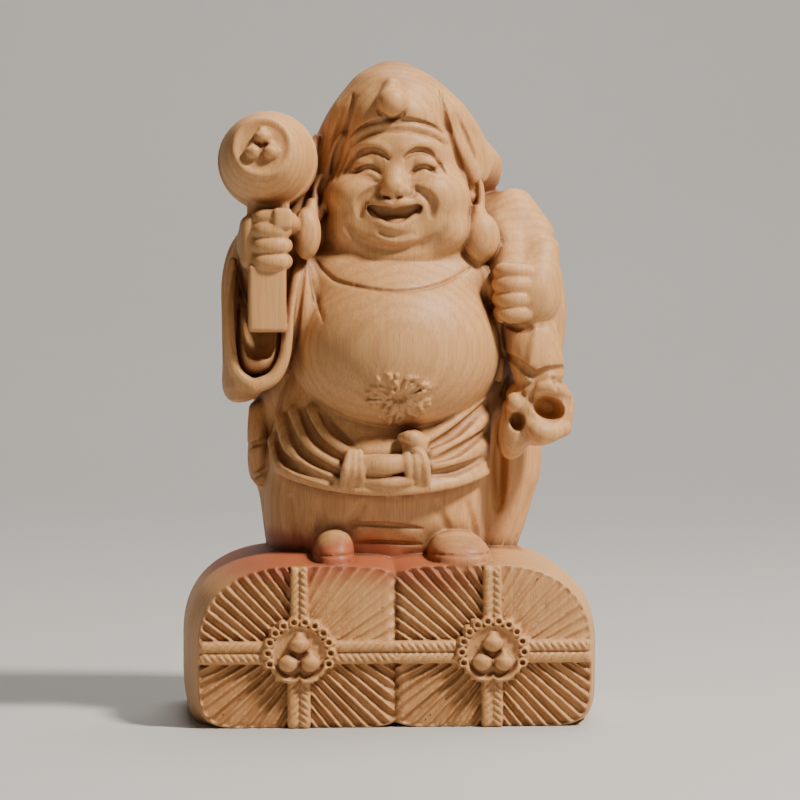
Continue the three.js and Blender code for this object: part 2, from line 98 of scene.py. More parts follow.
def spot(point):
    """A place of the figure, from hundredths of its height to millimetres."""
    x, y, z = point
    return np.array([x * UNIT, y * UNIT, SOLE_Z + z * UNIT])


def smooth_rows(rows, share):
    """Rows of numbers read as a smooth function: share 0 is the first row and 1 the last."""
    rows = np.asarray(rows, float)
    place = np.clip(share, 0, 1) * (len(rows) - 1)
    i = np.minimum(place.astype(int), len(rows) - 2)
    t = (place - i)[:, None]
    before, here = rows[np.maximum(i - 1, 0)], rows[i]
    after, last = rows[i + 1], rows[np.minimum(i + 2, len(rows) - 1)]
    square = 2 * before - 5 * here + 4 * after - last
    cubic = 3 * (here - after) + last - before
    return here + 0.5 * t * (after - before + t * (square + t * cubic))


class Form:
    """A distance function and the box outside which it doesn't matter."""

    def __init__(self, distance, low, high):
        self.distance = distance
        self.low = np.asarray(low, float)
        self.high = np.asarray(high, float)


def egg(centre, radii, turn=(0, 0, 0)):
    """An ellipsoid of the figure, turned about X, Y and Z in degrees."""
    middle = spot(centre)
    half = np.array(radii) * UNIT
    spin = np.array(Euler([math.radians(a) for a in turn]).to_matrix())
    reach = np.sqrt(((spin * half) ** 2).sum(axis=1))

    def distance(points):
        local = (points - middle) @ spin
        scaled = local / half
        far = np.sqrt((scaled**2).sum(axis=1)) + 1e-6
        slope = np.sqrt(((scaled / half) ** 2).sum(axis=1)) + 1e-6
        return far * (far - 1) / slope

    return Form(distance, middle - reach, middle + reach)


def loft(rows, power=2.0, hem=0.0, rounding=1.0):
    """A form of the figure by level sections (z, centre x, centre y, half width, half depth).

    hem lifts every section towards its sides, by the square of the share of its half width."""
    fine = smooth_rows(rows, np.linspace(0, 1, 12 * len(rows)))
    order = np.argsort(fine[:, 0])
    level, *columns = fine[order].T
    slopes = [np.gradient(column, level + 1e-4 * np.arange(len(level))) for column in columns]
    low_z, high_z = level[0], level[-1]

    def distance(points):
        x, y, z = (points[:, 0] / UNIT, points[:, 1] / UNIT, (points[:, 2] - SOLE_Z) / UNIT)
        if hem:
            middle, half = np.interp(z, level, columns[0]), np.interp(z, level, columns[2])
            z = z - hem * np.clip(np.abs(x - middle) / half, 0, 1) ** 2
        cx, cy, rx, ry = (np.interp(z, level, column) for column in columns)
        sx, sy, srx, sry = (np.interp(z, level, slope) for slope in slopes)
        qx, qy = (x - cx) / rx, (y - cy) / ry
        k = (np.abs(qx) ** power + np.abs(qy) ** power) ** (1 / power) + 1e-6
        gx = (np.abs(qx) / k) ** (power - 1) * np.sign(qx) / rx
        gy = (np.abs(qy) / k) ** (power - 1) * np.sign(qy) / ry
        gz = gx * (sx + qx * srx) + gy * (sy + qy * sry)
        side = (k - 1) / np.sqrt(gx**2 + gy**2 + np.clip(gz, -1, 1) ** 2 + 1e-9)
        ends = np.maximum(low_z - z, z - high_z)
        return soft_most(side * UNIT, ends * UNIT, rounding)

    margin = 1.08
    low = [min(columns[0] - columns[2] * margin), min(columns[1] - columns[3] * margin), low_z]
    high = [max(columns[0] + columns[2] * margin), max(columns[1] + columns[3] * margin), high_z + hem]
    return Form(distance, spot(low), spot(high))


def limb(points, radii, squash=1.0, steps=3):
    """A rounded bar of the figure along a smooth line. squash flattens it towards the viewer."""
    rows = [[*spot(point), radius * UNIT] for point, radius in zip(points, radii)]
    return bar(rows, squash, steps=steps)


def bar(rows, squash=1.0, smooth=True, steps=3):
    """A rounded bar in millimetres, by rows of x, y, z and radius."""
    rows = np.asarray(rows, float)
    if smooth and len(rows) > 2:
        rows = smooth_rows(rows, np.linspace(0, 1, steps * (len(rows) - 1) + 1))
    flat = np.array([1, 1 / squash, 1])

    def distance(points):
        nearest = np.full(len(points), FAR, np.float32)
        stretched = points * flat
        for start, end in zip(rows[:-1], rows[1:]):
            run = (end[:3] - start[:3]) * flat
            offset = stretched - start[:3] * flat
            share = np.clip(offset @ run / (run @ run + 1e-9), 0, 1)
            away = offset - share[:, None] * run
            gap = np.sqrt((away**2).sum(axis=1)) - (start[3] + share * (end[3] - start[3]))
            np.minimum(nearest, gap, out=nearest)
        return nearest * min(squash, 1)

    reach = rows[:, 3:4] * np.maximum(np.array([1, squash, 1]), 1)
    return Form(distance, (rows[:, :3] - reach).min(0), (rows[:, :3] + reach).max(0))


def rounded_block(centre, half, rounding):
    """An upright block in millimetres, with rounded edges."""
    centre, half = np.array(centre), np.array(half) - rounding

    def distance(points):
        over = np.abs(points - centre) - half
        outside = np.sqrt((np.maximum(over, 0) ** 2).sum(axis=1))
        return outside + np.minimum(over.max(axis=1), 0) - rounding

    return Form(distance, centre - half - rounding, centre + half + rounding)


def soft_least(a, b, soft):
    """The smaller of two distances, with a rounded valley of that softness."""
    if soft <= 0:
        return np.minimum(a, b)
    share = np.clip(0.5 + 0.5 * (b - a) / soft, 0, 1)
    return b + (a - b) * share - soft * share * (1 - share)


def soft_most(a, b, soft):
    """The larger of two distances, with a rounded ridge of that softness."""
    return -soft_least(-a, -b, soft)


class Sculpture:
    """Forms joined to and cut from each other, in order."""

    def __init__(self):
        self.steps = []

    def add(self, form, soft=0.6):
        self.steps.append((soft_least, 1, form, soft))

    def cut(self, form, soft=0.6):
        self.steps.append((soft_most, -1, form, soft))

    def distance(self, points, reach=4.0):
        """Distances at loose points."""
        points = np.asarray(points, np.float32)
        return self.in_blocks(points.reshape(len(points), 1, 3), points, points, reach)[:, 0]

    def normals(self, points, reach=4.0):
        """Which way the surface faces at loose points near it."""
        nudges = 0.6 * np.eye(3)
        slope = np.stack([
            self.distance(points + nudge, reach) - self.distance(points - nudge, reach) for nudge in nudges
        ], axis=1)
        return slope / (np.linalg.norm(slope, axis=1, keepdims=True) + 1e-6)

    def in_blocks(self, points, lows, highs, reach):
        """Distances at blocks of points, each form worked out only near its own box.

        reach is how far from a form its distances have to be right, in millimetres."""
        found = np.full(points.shape[:2], FAR, np.float32)
        for blend, sign, form, soft in self.steps:
            grown = soft + (reach if sign > 0 else 0.5)
            near = ((highs > form.low - grown) & (lows < form.high + grown)).all(axis=1)
            if not near.any():
                continue
            some = points[near]
            value = form.distance(some.reshape(-1, 3)).reshape(some.shape[:2])
            found[near] = blend(found[near], sign * value, soft)
        return found

    def on_front(self, places):
        """The foremost points of the sculpture at (x, z) places of the figure, and the normals there."""
        x = np.array([p[0] * UNIT for p in places])
        z = np.array([SOLE_Z + p[1] * UNIT for p in places])
        levels = np.arange(FRONTMOST, REARMOST, PROBE_STEP)
        grid = np.empty((len(places), len(levels), 3))
        grid[..., 0], grid[..., 1], grid[..., 2] = x[:, None], levels, z[:, None]
        values = self.distance(grid.reshape(-1, 3)).reshape(grid.shape[:2])
        first = np.clip((values < 0).argmax(axis=1), 1, len(levels) - 1)
        rows = np.arange(len(places))
        outer, inner = values[rows, first - 1], values[rows, first]
        share = np.clip(outer / (outer - inner + 1e-6), 0, 1)
        y = levels[first - 1] + PROBE_STEP * share
        points = np.stack([x, y, z], axis=1)
        return points, self.normals(points)

    def settled(self, points):
        """The points of the surface near some points, and the normals there."""
        for _ in range(5):
            normals = self.normals(points, FAR)
            points = points - normals * self.distance(points, FAR)[:, None]
        return points, self.normals(points)

    def stroke(self, places, radii, sunk):
        """A smooth bar laid on the surface, by (x, z) places of the front or (x, y, z) places anywhere.

        Its middle lies sunk times its radius under the surface."""
        fine = smooth_rows(places, np.linspace(0, 1, 4 * (len(places) - 1) + 1))
        widths = smooth_rows([[r] for r in radii], np.linspace(0, 1, len(fine)))[:, 0] * UNIT
        if fine.shape[1] == 3:
            points, normals = self.settled(np.array([spot(place) for place in fine]))
        else:
            points, normals = self.on_front(fine)
        return bar(np.column_stack([points - normals * (sunk * widths)[:, None], widths]), smooth=False)

    def raised(self, places, radii, sunk=0.4, soft=1.2):
        """A ridge along the front, by (x, z) places of the figure."""
        self.add(self.stroke(places, radii, sunk), soft)

    def carved(self, places, radii, sunk=-0.2, soft=0.5):
        """A line cut into the front, by (x, z) places of the figure."""
        self.cut(self.stroke(places, radii, sunk), soft)


# The bales

UNDERSIDE_SHARE = 1.12  # how far the outline's lower half would reach, as a share of WAIST_HEIGHT
BOXY, ROUND = 6.0, 2.4  # powers of the outline
RELIEF_REACH = 6.0  # from a bale's end, in millimetres
ROSETTE_REACH = 12.0
PLEAT_WIDTH = 2.75
PLEAT_DEPTH = 1.9
PLEAT_UNEVENNESS = 0.16
PLEATS_END = 0.9  # as a share of the bale's widest outline
# How far past the middle of a bale's end the pleats of each quarter fan out from
PLEAT_FANS = {(-1, 1): 40.0, (1, 1): 12.0, (-1, -1): 16.0, (1, -1): 40.0}
SHALLOW_QUARTER = (1, 1)
SHALLOW_SHARE = 0.55
BALE_ROUNDING = 2.2
STRAND_WIDTH = 3.3
UPRIGHT_WIDTH = 2.6  # of each strand of the upright ropes, above the rosettes
STRAND_PITCH = 2.1
STRAND_PROUD = 1.4
ROSETTE_RADIUS = 7.9
ROSETTE_HEIGHT = 2.0
DISH_DEPTH = 0.9
DISH_RADIUS = 6.0
CURL_COUNT = 18
CURL_RADIUS = 1.15
CURL_WALL = 0.62
CURL_REACH = 9.2  # from the rosette's middle to a curl's
LIP_REACH = 9.6
LIP_CUSP = 7.0
LIP_ANGLE = 1.1  # on each side of straight down
JEWEL_RADIUS = 3.15
JEWEL_TIP = 1.2
JEWEL_DEGREES = (90, 210, 330)  # round the middle of three
SEAM_DEPTH = 1.5
SEAM_WIDTH = 0.9


def bale_outline(out, up):
    """How far out a place lies, as a share of the bale's widest outline, and that share's slope."""
    half_width = np.where(out > 0, BALE_WIDTH / 2, BALE_WIDTH / 2 + INNER_SPREAD)
    half_height = np.where(up > 0, BALE_HEIGHT - WAIST_HEIGHT, WAIST_HEIGHT * UNDERSIDE_SHARE)
    power = np.where((up < 0) | (out < 0), BOXY, ROUND)
    a, b = np.abs(out) / half_width, np.abs(up) / half_height
    share = (a**power + b**power) ** (1 / power) + 1e-6
    slope_out = (a / share) ** (power - 1) / half_width
    slope_up = (b / share) ** (power - 1) / half_height
    return share, np.sqrt(slope_out**2 + slope_up**2) + 1e-6


def smooth_step(low, high, value):
    """0 where the value is at low, 1 where it is at high, and smooth between."""
    t = np.clip((value - low) / (high - low), 0, 1)
    return t * t * (3 - 2 * t)


def pleats(x, up, share):
    """Height of the straw's pleats over a bale's end: sharp ridges with rounded valleys."""
    height = np.zeros(len(x))
    for (right, above), fan in PLEAT_FANS.items():
        here = ((x > 0) == (right > 0)) & ((up > 0) == (above > 0))
        across, along = np.abs(x[here]) + fan, np.abs(up[here]) + fan
        reach = np.hypot(across, along)
        turn = np.arctan2(along, across) - math.pi / 4
        phase = turn * (fan * math.sqrt(2) + 20) / PLEAT_WIDTH + 0.02 * (reach - 30) * turn + 0.5
        valley = np.abs(np.sin(np.pi * phase)) ** 0.8
        uneven = 1 + PLEAT_UNEVENNESS * np.sin(2.3 * np.floor(phase) + 1.7 * right + 0.9 * above)
        depth = PLEAT_DEPTH * (SHALLOW_SHARE if (right, above) == SHALLOW_QUARTER else 1)
        height[here] = -depth * uneven * valley
    return height * smooth_step(PLEATS_END, PLEATS_END - 0.03, share)


def strands(along, across, width=STRAND_WIDTH):
    """Height of a rope made of two twisted strands side by side."""
    side = np.abs(across) - width / 2
    roundness = np.sqrt(np.clip(1 - (side / (width / 2)) ** 2, 0, 1))
    twist = np.abs(np.sin(np.pi * (along + 0.9 * np.abs(across)) / STRAND_PITCH))
    height = STRAND_PROUD * (0.2 + 0.8 * roundness) * (0.5 + 0.5 * twist)
    return np.where(np.abs(across) < width, height, NO_RELIEF)


def rosette(out, up):
    """Height of the straw rosette: a shallow dish in a ring of curls, with a lip below."""
    reach = np.hypot(out, up)
    floor = ROSETTE_HEIGHT - DISH_DEPTH
    dish = ROSETTE_HEIGHT - DISH_DEPTH * smooth_step(ROSETTE_RADIUS, DISH_RADIUS + 0.2, reach)
    dish = np.where(reach < ROSETTE_RADIUS, dish, NO_RELIEF)
    turn = np.arctan2(up, out) / (2 * np.pi) * CURL_COUNT
    turn = (turn - np.round(turn)) * 2 * np.pi / CURL_COUNT
    ring = np.hypot(reach * np.cos(turn) - CURL_REACH, reach * np.sin(turn))
    tube = 1 - np.clip(np.abs(ring - CURL_RADIUS) / CURL_WALL, 0, 1) ** 2
    curls = np.where(ring < CURL_RADIUS + CURL_WALL, 0.7 + 1.9 * tube, NO_RELIEF)
    from_down = np.abs(np.arctan2(out, -up))
    cusp = np.sqrt(1 - (1 - np.clip(from_down / 0.5, 0, 1)) ** 2)
    edge = LIP_CUSP + (LIP_REACH - LIP_CUSP) * cusp
    lip = floor + 1.7 * smooth_step(edge - 2.6, edge - 0.9, reach)
    lip = np.where((reach < edge) & (reach > DISH_RADIUS - 0.5), lip, NO_RELIEF)
    lip = np.maximum(lip, np.where(reach < DISH_RADIUS, floor, NO_RELIEF))
    return np.where(from_down < LIP_ANGLE, lip, np.maximum(dish, curls))


def bale(side):
    """One bale, lying along Y, with the straw and ropes of its ends in relief."""
    rim = BALE_DEPTH / 2

    def distance(points):
        out = side * points[:, 0] - BALE_SPACING / 2
        up = points[:, 2] - WAIST_HEIGHT
        back = points[:, 1] - BALE_SETBACK
        share, slope = bale_outline(out, up)
        taper = smooth_step(0.45, 1.0, np.abs(back) / rim)
        around = (share - 1 + (1 - RIM_SHARE - 0.03) * taper) / slope
        height = np.zeros(len(points))
        near = np.abs(np.abs(back) - rim) < RELIEF_REACH
        o, u, s = out[near], up[near], share[near]
        relief = pleats(side * o, u, s)
        relief -= SEAM_DEPTH * np.exp(-np.abs(points[near, 0]) / SEAM_WIDTH)
        width = np.where(u > 0, UPRIGHT_WIDTH, STRAND_WIDTH)
        ropes = np.maximum(strands(o, u), strands(u, o, width))
        relief = np.maximum(relief, np.where(s < PLEATS_END, ropes, NO_RELIEF))
        flower = np.where(np.hypot(o, u) < ROSETTE_REACH, rosette(o, u), NO_RELIEF)
        height[near] = np.maximum(relief, flower)
        end = (np.abs(back) - rim - height) * 0.75
        return np.maximum(soft_most(around, end, BALE_ROUNDING), -side * points[:, 0] - 0.1)

    middle = side * BALE_SPACING / 2
    half = BALE_WIDTH / 2 + INNER_SPREAD
    low = [middle - half, BALE_SETBACK - rim - 4, -3]
    return Form(distance, low, [middle + half, BALE_SETBACK + rim + 4, BALE_HEIGHT])


def bale_jewels(side):
    """Three jewels in a triangle on a rosette, each drawn out to a point above."""
    face = BALE_SETBACK - BALE_DEPTH / 2 - ROSETTE_HEIGHT + 0.4
    reach = 2 / math.sqrt(3) * JEWEL_RADIUS
    for degrees in JEWEL_DEGREES:
        x = side * BALE_SPACING / 2 + reach * math.cos(math.radians(degrees))
        z = WAIST_HEIGHT + reach * math.sin(math.radians(degrees)) - 0.3
        yield bar([[x, face, z - 0.3, JEWEL_RADIUS], [x, face + 0.5, z + 1.9, JEWEL_TIP]])


def add_bales(work):
    for side in (-1, 1):
        work.add(bale(side), 0.3)
    for side in (-1, 1):
        for jewel in bale_jewels(side):
            work.add(jewel, 0.35)


# The figure

def mirrored(points, side):
    return [(side * x, *rest) for x, *rest in points]


def both_ways(half):
    """A line across the middle, from its first point on the middle and the rest on one side."""
    return mirrored(half[:0:-1], -1) + half


def swelling(thin, full, count):
    """Radii of a stroke that is thin at its ends."""
    return [thin] + [full] * (count - 2) + [thin]


def add_lower_body(work):
    trousers = [
        [-3, -2, 1, 20.4, 15],
        [1, -2, 1, 21, 15.6],
        [4, -2.2, 0.5, 22, 16.2],
        [12, -2.3, 0, 22.4, 17],
        [22, -1.8, 0, 22, 16],
    ]
    work.add(loft(trousers, 2.5), 1.0)
    work.cut(egg([-1.2, -19.2, 1.4], [11, 4.6, 6.6]), 1.8)
    upper_hem = [(-8.8, 8.2), (-5, 8.2), (-1, 8), (3, 7.6), (6, 7.2)]
    work.carved(upper_hem, [0.2, 0.5, 0.6, 0.5, 0.2], 0.3, 0.2)
    lower_hem = [(-7.6, 4.4), (-4.6, 4.5), (-1, 4.4), (3, 4.2), (6, 4)]
    work.carved(lower_hem, [0.2, 0.4, 0.45, 0.4, 0.2], 0.3, 0.2)
    for width, places in (
        (0.9, [(-20, 13), (-19, 7), (-17.5, 1)]),
        (0.8, [(-14.5, 12), (-14, 9), (-14.4, 7)]),
        (0.9, [(15, 12), (17, 6), (17.2, 1)]),
        (0.8, [(9, 12), (10.4, 8), (11, 7)]),
        (0.7, [(-6, 12), (-7.6, 9), (-8.2, 8)]),
    ):
        work.carved(places, [0.4, width, 0.5], -0.2, 1.8)
    right_foot = [
        [-1, -11.8, -14.6, 3.9, 9.6],
        [1.6, -11.8, -14.6, 4.1, 9.8],
        [4, -11.7, -14.2, 3.9, 9.2],
        [6, -11.5, -13.6, 3, 7.6],
        [7.2, -11.4, -13, 1.4, 5],
    ]
    left_foot = [
        [-1, 13.2, -15, 6, 9.4],
        [1.6, 13.2, -15, 6.3, 9.6],
        [3.8, 13, -14.4, 5.8, 8.8],
        [5.6, 12.6, -13.4, 4.4, 7],
        [6.6, 12.4, -12.6, 2, 4.6],
    ]
    for foot in (right_foot, left_foot):
        work.add(loft(foot, 2.7), 0.9)
    for x, half in ((-11.8, 3.9), (13.2, 6)):
        work.carved([(x - half, 2.7), (x, 2.5), (x + half, 2.7)], [0.2, 0.3, 0.2], 0, 0.3)


def add_skirt(work):
    skirt = [
        [14.2, -1.2, -1, 22.8, 20],
        [17, -1.2, -1, 22.7, 19.4],
        [21.4, -1.1, -1, 22.2, 18.2],
        [25.8, -0.8, -1.4, 21.6, 15.8],
        [30, -0.6, -1, 21, 14.6],
        [36, -0.4, -1, 20, 13],
    ]
    work.add(loft(skirt, 2.3, hem=4.2, rounding=0.5), 0.3)
    hem = [(-22, 19.2), (-13.5, 16.2), (-1, 15.2), (12.7, 16.4), (19.6, 18.4)]
    work.raised(hem, [0.6, 0.8, 0.9, 0.8, 0.6], 0.5, 1.2)
    ridges = [
        [(19.4, 29), (13, 24.4), (7.8, 22)],
        [(19, 24), (13, 21), (7.8, 19.8)],
        [(19.6, 34), (13, 28.6), (7, 25)],
        [(-22, 29), (-19.2, 21.4), (-11, 17.2)],
        [(-19.4, 30), (-16.4, 23.6), (-10, 19.6)],
        [(-15.8, 30.4), (-13.2, 25.6), (-8.4, 22)],
        [(-23.4, 24), (-21.4, 19.4), (-13.4, 16.6)],
    ]
    for ridge in ridges:
        work.raised(ridge, [1.1, 1.5, 0.9], 0.2, 1.8)
    valleys = [
        [(18.8, 31.6), (12.6, 26.4), (7.2, 23.6)],
        [(18.4, 26), (12.6, 22.6), (8, 20.9)],
        [(19, 21), (12.8, 19), (7.8, 18.2)],
        [(-20.8, 30.2), (-17.8, 22.5), (-10.6, 18.3)],
        [(-17.8, 30.8), (-14.9, 24.7), (-9.4, 20.8)],
        [(-13.8, 30), (-11.4, 26.6), (-7.8, 23.8)],
        [(-22.8, 26.4), (-20.6, 20.4), (-12.4, 16.9)],
    ]
    for valley in valleys:
        work.carved(valley, [0.5, 1.05, 0.5], 0.1, 0.9)


def add_coat(work):
    coat = [
        [-3, 1.2, 9, 24.6, 13.4],
        [-1, 1.2, 9, 24.8, 13.5],
        [6, 2, 9.4, 26.6, 14.8],
        [13.4, 2.6, 9.8, 28.4, 15.4],
        [16.6, 2.2, 9.7, 29.8, 15.5],
        [22, 2.2, 9.6, 30, 15.6],
        [30, 1.8, 8, 28.6, 15.8],
        [40, 0.8, 4, 26.6, 16.4],
        [50, 0.6, 1, 25.4, 15.2],
        [57, 0.8, 0, 24, 14],
        [61.4, 0.8, -1, 20, 12],
        [64, 1, -2, 12, 8],
    ]
    work.add(loft(coat, 2.3), 0.8)


def add_drapes(work):
    """The coat's edges beside the skirt: two layers on the right hand's side, a strip on the other."""
    work.add(limb([[-25.8, 2.4, 30], [-25.8, 1.4, 24], [-25.2, 2, 16.6]], [2.0, 2.3, 2.0]), 1.6)
    for width, places in (
        (0.6, [(-23.4, -3, 24.4), (-25.6, 0, 23.6), (-28.4, 5, 21), (-28.6, 10, 18.6)]),
        (0.65, [(-22.8, -3, 19), (-25, 0, 17.8), (-28, 5, 15), (-27.6, 10, 12)]),
    ):
        work.carved(places, [0.5, width, 0.5, 0.1], 0, 0.6)
    work.cut(egg([22.6, -7, 18], [2.5, 8, 13]), 1.2)
    work.raised([(30.6, 22), (29.4, 14), (26.8, 5)], [0.5, 0.9, 0.5], 0.4, 1.0)


def add_trunk(work):
    work.add(egg([1.2, -6, 42.8], [21.2, 19.5, 18.4]), 0.5)
    work.add(egg([0.6, -6, 55], [18, 11.2, 9.6]), 4.5)


def add_chest(work):
    """The collar's edge and the pleats of the cloth over the right shoulder."""
    neckline = [(-15, 60.4), (-13.2, 58), (-9.7, 55.8), (0.4, 54.3), (9.6, 55.7), (15.7, 58.7)]
    work.carved(neckline, [0.3, 0.45, 0.5, 0.5, 0.5, 0.35], 0.0, 0.2)
    work.add(egg([-17.4, -8, 50], [4.2, 7, 12]), 1.6)
    work.add(egg([-17.6, -10, 53.6], [2.4, 3.4, 6.6]), 1.6)
    work.carved([(-16.2, 59.4), (-15.3, 54), (-13.8, 48.4)], [0.3, 0.55, 0.25], 0.0, 0.3)
    work.carved([(-17.2, 59), (-18.2, 53), (-19.3, 45), (-20.4, 38)], [0.3, 0.6, 0.7, 0.4], 0.0, 0.5)
    right = [[17.4, -9.6, 60], [20.4, -10.4, 53], [22.2, -9, 45], [22, -7.6, 37]]
    work.add(limb(right, [1.3, 1.5, 1.5, 1.2]), 0.6)


def add_navel(work):
    """The navel, with short strokes of hair around it."""
    work.carved([(0.4, 33.2), (1.4, 33.2)], [1.1, 1.1], -0.3, 0.8)
    for ring, (inner, length, count) in enumerate(((1.6, 1.7, 15), (3.0, 1.9, 22), (4.6, 1.5, 24))):
        for i in range(count):
            angle = 2 * math.pi * (i + 0.5 * ring) / count + 0.12 * math.sin(5 * i + ring)
            start = inner + 0.35 * math.sin(3 * i + 2 * ring)
            end = start + length * (1 + 0.3 * math.sin(7 * i + ring))
            bend = 0.12 * math.sin(4 * i + ring)
            line = [
                (0.9 + 1.1 * r * math.cos(angle + turn), 33.4 + 0.85 * r * math.sin(angle + turn))
                for r, turn in ((start, 0), ((start + end) / 2, bend), (end, 0))
            ]
            work.raised(line, [0.25, 0.46, 0.18], -0.15, 0.2)


def add_belt(work):
    front = -20.4
    work.add(egg([-1.4, -16.6, 21], [8.6, 3.2, 4.6]), 1.5)
    band = [
        [-7, front + 0.4, 20], [-4, front - 0.4, 20.2], [-1.2, front - 0.8, 20.2], [2.4, front - 0.2, 20.6],
    ]
    work.add(limb(band, [1.8, 2.1, 2.1, 1.8], 0.8), 0.8)
    lower = [[-5.6, front, 17], [-1.2, front - 0.9, 16.6], [3, front - 0.4, 17]]
    work.add(limb(lower, [1.1, 1.3, 1.1], 0.8), 0.6)
    for x, spread in ((-9.4, -0.7), (-8, -0.3), (-6.6, 0.1)):
        strand = [[x - spread, front + 0.6, 22.6], [x, front - 0.9, 19.4], [x + spread, front + 0.2, 16.2]]
        work.add(limb(strand, [0.7, 1.1, 0.8]), 0.35)
    for x, lean in ((2.6, -0.4), (4.2, -0.9), (5.8, -1.2)):
        strand = [[x + lean, front + 0.4, 24.4], [x + 0.1, front - 1.1, 20.6], [x + 0.6, front + 0.2, 16.4]]
        work.add(limb(strand, [0.6, 1.1, 0.8]), 0.35)
    work.add(egg([3.8, -17.8, 24], [3, 3.2, 3]), 1.2)
    knot = [[1.6, front + 0.6, 25.4], [3.6, front - 1.2, 25.4], [5.6, front + 0.2, 23.4]]
    work.add(limb(knot, [1.0, 1.5, 0.9], 0.9), 0.4)
    tip = [[2.0, front + 0.2, 23.4], [4.2, front - 1.2, 23.2], [5.8, front, 21.8]]
    work.add(limb(tip, [0.5, 0.8, 0.5]), 0.3)


# The head looks a little to its right. What is on it is placed from its upright axis

HEAD_X = 2.0
HEAD_Y = -4.6
HEAD_TURN = math.radians(-8)
EYE_SPACING = 5.6
EYE_LINE = 77.8
NOSE_LINE = 74.6
MOUTH_LINE = 70.0
FACE_FRONT = -9.5  # where the face's lines lie, from the head's axis


def on_head(point):
    """A place of the figure, from a place beside the head's axis."""
    x, y, z = point
    cos, sin = math.cos(HEAD_TURN), math.sin(HEAD_TURN)
    return (HEAD_X + x * cos - y * sin, HEAD_Y + x * sin + y * cos, z)


def head_limb(points, level, radii, squash=1.0):
    return limb([on_head((x, y, level + z)) for x, y, z in points], radii, squash)


def on_face(points, level, side=1):
    """(x, z) places of the figure, from places beside the face's middle, mirrored where side is -1."""
    return [(on_head((side * x, FACE_FRONT, 0))[0], level + z) for x, z in points]


def add_head(work):
    skull = [
        [56.6, 0, 0.6, 7, 6.5],
        [57.6, 0, 0.4, 9.5, 8.5],
        [60, 0, 0, 12.6, 11.2],
        [62.8, 0, -0.2, 13.4, 11.9],
        [66.4, 0, -0.6, 14, 12.2],
        [71.4, 0, -0.2, 14, 12.6],
        [77.5, 0, 0.2, 13.4, 12.2],
        [83.5, 0, 0.6, 12, 11.6],
        [88, 0, 1, 10.2, 10],
    ]
    turned = [[z, *on_head((x, y, 0))[:2], *half] for z, x, y, *half in skull]
    work.add(loft(turned), 0.6)
    for side in (-1, 1):
        work.add(egg(on_head((6.6 * side, -4.6, NOSE_LINE - 2)), [8, 8.2, 6.6]), 2.5)
        work.add(egg(on_head((8.4 * side, -4.2, MOUTH_LINE - 3.4)), [6.2, 7.4, 5.6]), 3)
    work.add(egg(on_head((0, -4.6, 82.4)), [10.8, 7.8, 7.6]), 2)
    work.add(egg(on_head((0, -8.2, MOUTH_LINE + 0.6)), [6.4, 5.2, 5]), 2.4)
    work.add(egg(on_head((0, -9.8, MOUTH_LINE - 4.8)), [5.2, 3.6, 2.9]), 2)


def add_face(work):
    """A broad laughing face: closed eyes, full cheeks, a wide nose and an open mouth."""
    add_eyes(work)
    add_nose(work)
    add_mouth(work)
    chin = [(-9.6, -3.4), (-6.6, -6.2), (0, -7.6), (6.6, -6.2), (9.6, -3.4)]
    work.carved(on_face(chin, MOUTH_LINE), [0.3, 0.6, 0.8, 0.6, 0.3], -0.3, 1.8)


def add_eyes(work):
    for side in (-1, 1):
        work.add(egg(on_head((EYE_SPACING * side, -9.2, EYE_LINE + 1.6)), [2.9, 2.7, 2.0]), 0.9)
        brow = [(1.8, 4.3), (3.5, 5.3), (5.5, 5.6), (7.2, 5.2), (8.6, 4.4)]
        work.raised(on_face(brow, EYE_LINE, side), [0.4, 0.6, 0.65, 0.5, 0.25], 0.6, 1.2)
        slit = [(2.7, -0.6), (4.1, 0.5), (5.6, 0.8), (7.2, 0.3), (8.8, -0.9)]
        work.carved(on_face(slit, EYE_LINE, side), [0.3, 0.5, 0.55, 0.5, 0.3], 0.2, 0.15)
        under = [(3.4, -1.4), (4.5, -0.5), (5.6, -0.3), (6.8, -0.6), (8, -1.6)]
        work.raised(on_face(under, EYE_LINE, side), [0.3, 0.5, 0.55, 0.5, 0.3], 0.3, 0.3)
        bag = [(3, -2.3), (5.4, -1.8), (8.2, -2.7)]
        work.carved(on_face(bag, EYE_LINE, side), [0.2, 0.4, 0.2], -0.2, 0.6)


def add_sockets(work):
    """The lines above the eyes, which run on over the temples and so come after the cap's ends."""
    inner = [(1.6, 2.5), (3.2, 3.7), (4.8, 4.1), (6.2, 3.85), (7.2, 3.3)]
    outer = [(7.9, 2.7), (8.5, 2.0), (9.1, 1.2), (9.7, 0.3), (10.2, -0.6)]
    radii = [0.4, 0.65, 0.7, 0.68, 0.64, 0.6, 0.55, 0.5, 0.4, 0.2]
    for side in (-1, 1):
        work.carved(on_face(inner + outer, EYE_LINE, side), radii, 0.25, 0.3)


def add_nose(work):
    bridge = [(0, -9.4, 3.8), (0, -10.4, 1.2), (0, -11.7, -1), (0, -12.8, -2.9)]
    work.add(head_limb(bridge, EYE_LINE, [1.2, 1.5, 1.9, 2.3], 0.9), 2.2)
    for side in (-1, 1):
        work.add(egg(on_head((2.1 * side, -12, NOSE_LINE - 0.5)), [1.4, 1.7, 1.35]), 0.5)
        work.cut(egg(on_head((1.3 * side, -13.4, NOSE_LINE - 2.2)), [0.65, 1.2, 0.45]), 0.3)
        wing = [(2.2, -2.1), (3.6, -1.3), (3.9, 0.3)]
        work.carved(on_face(wing, NOSE_LINE, side), [0.25, 0.45, 0.25], 0, 0.35)


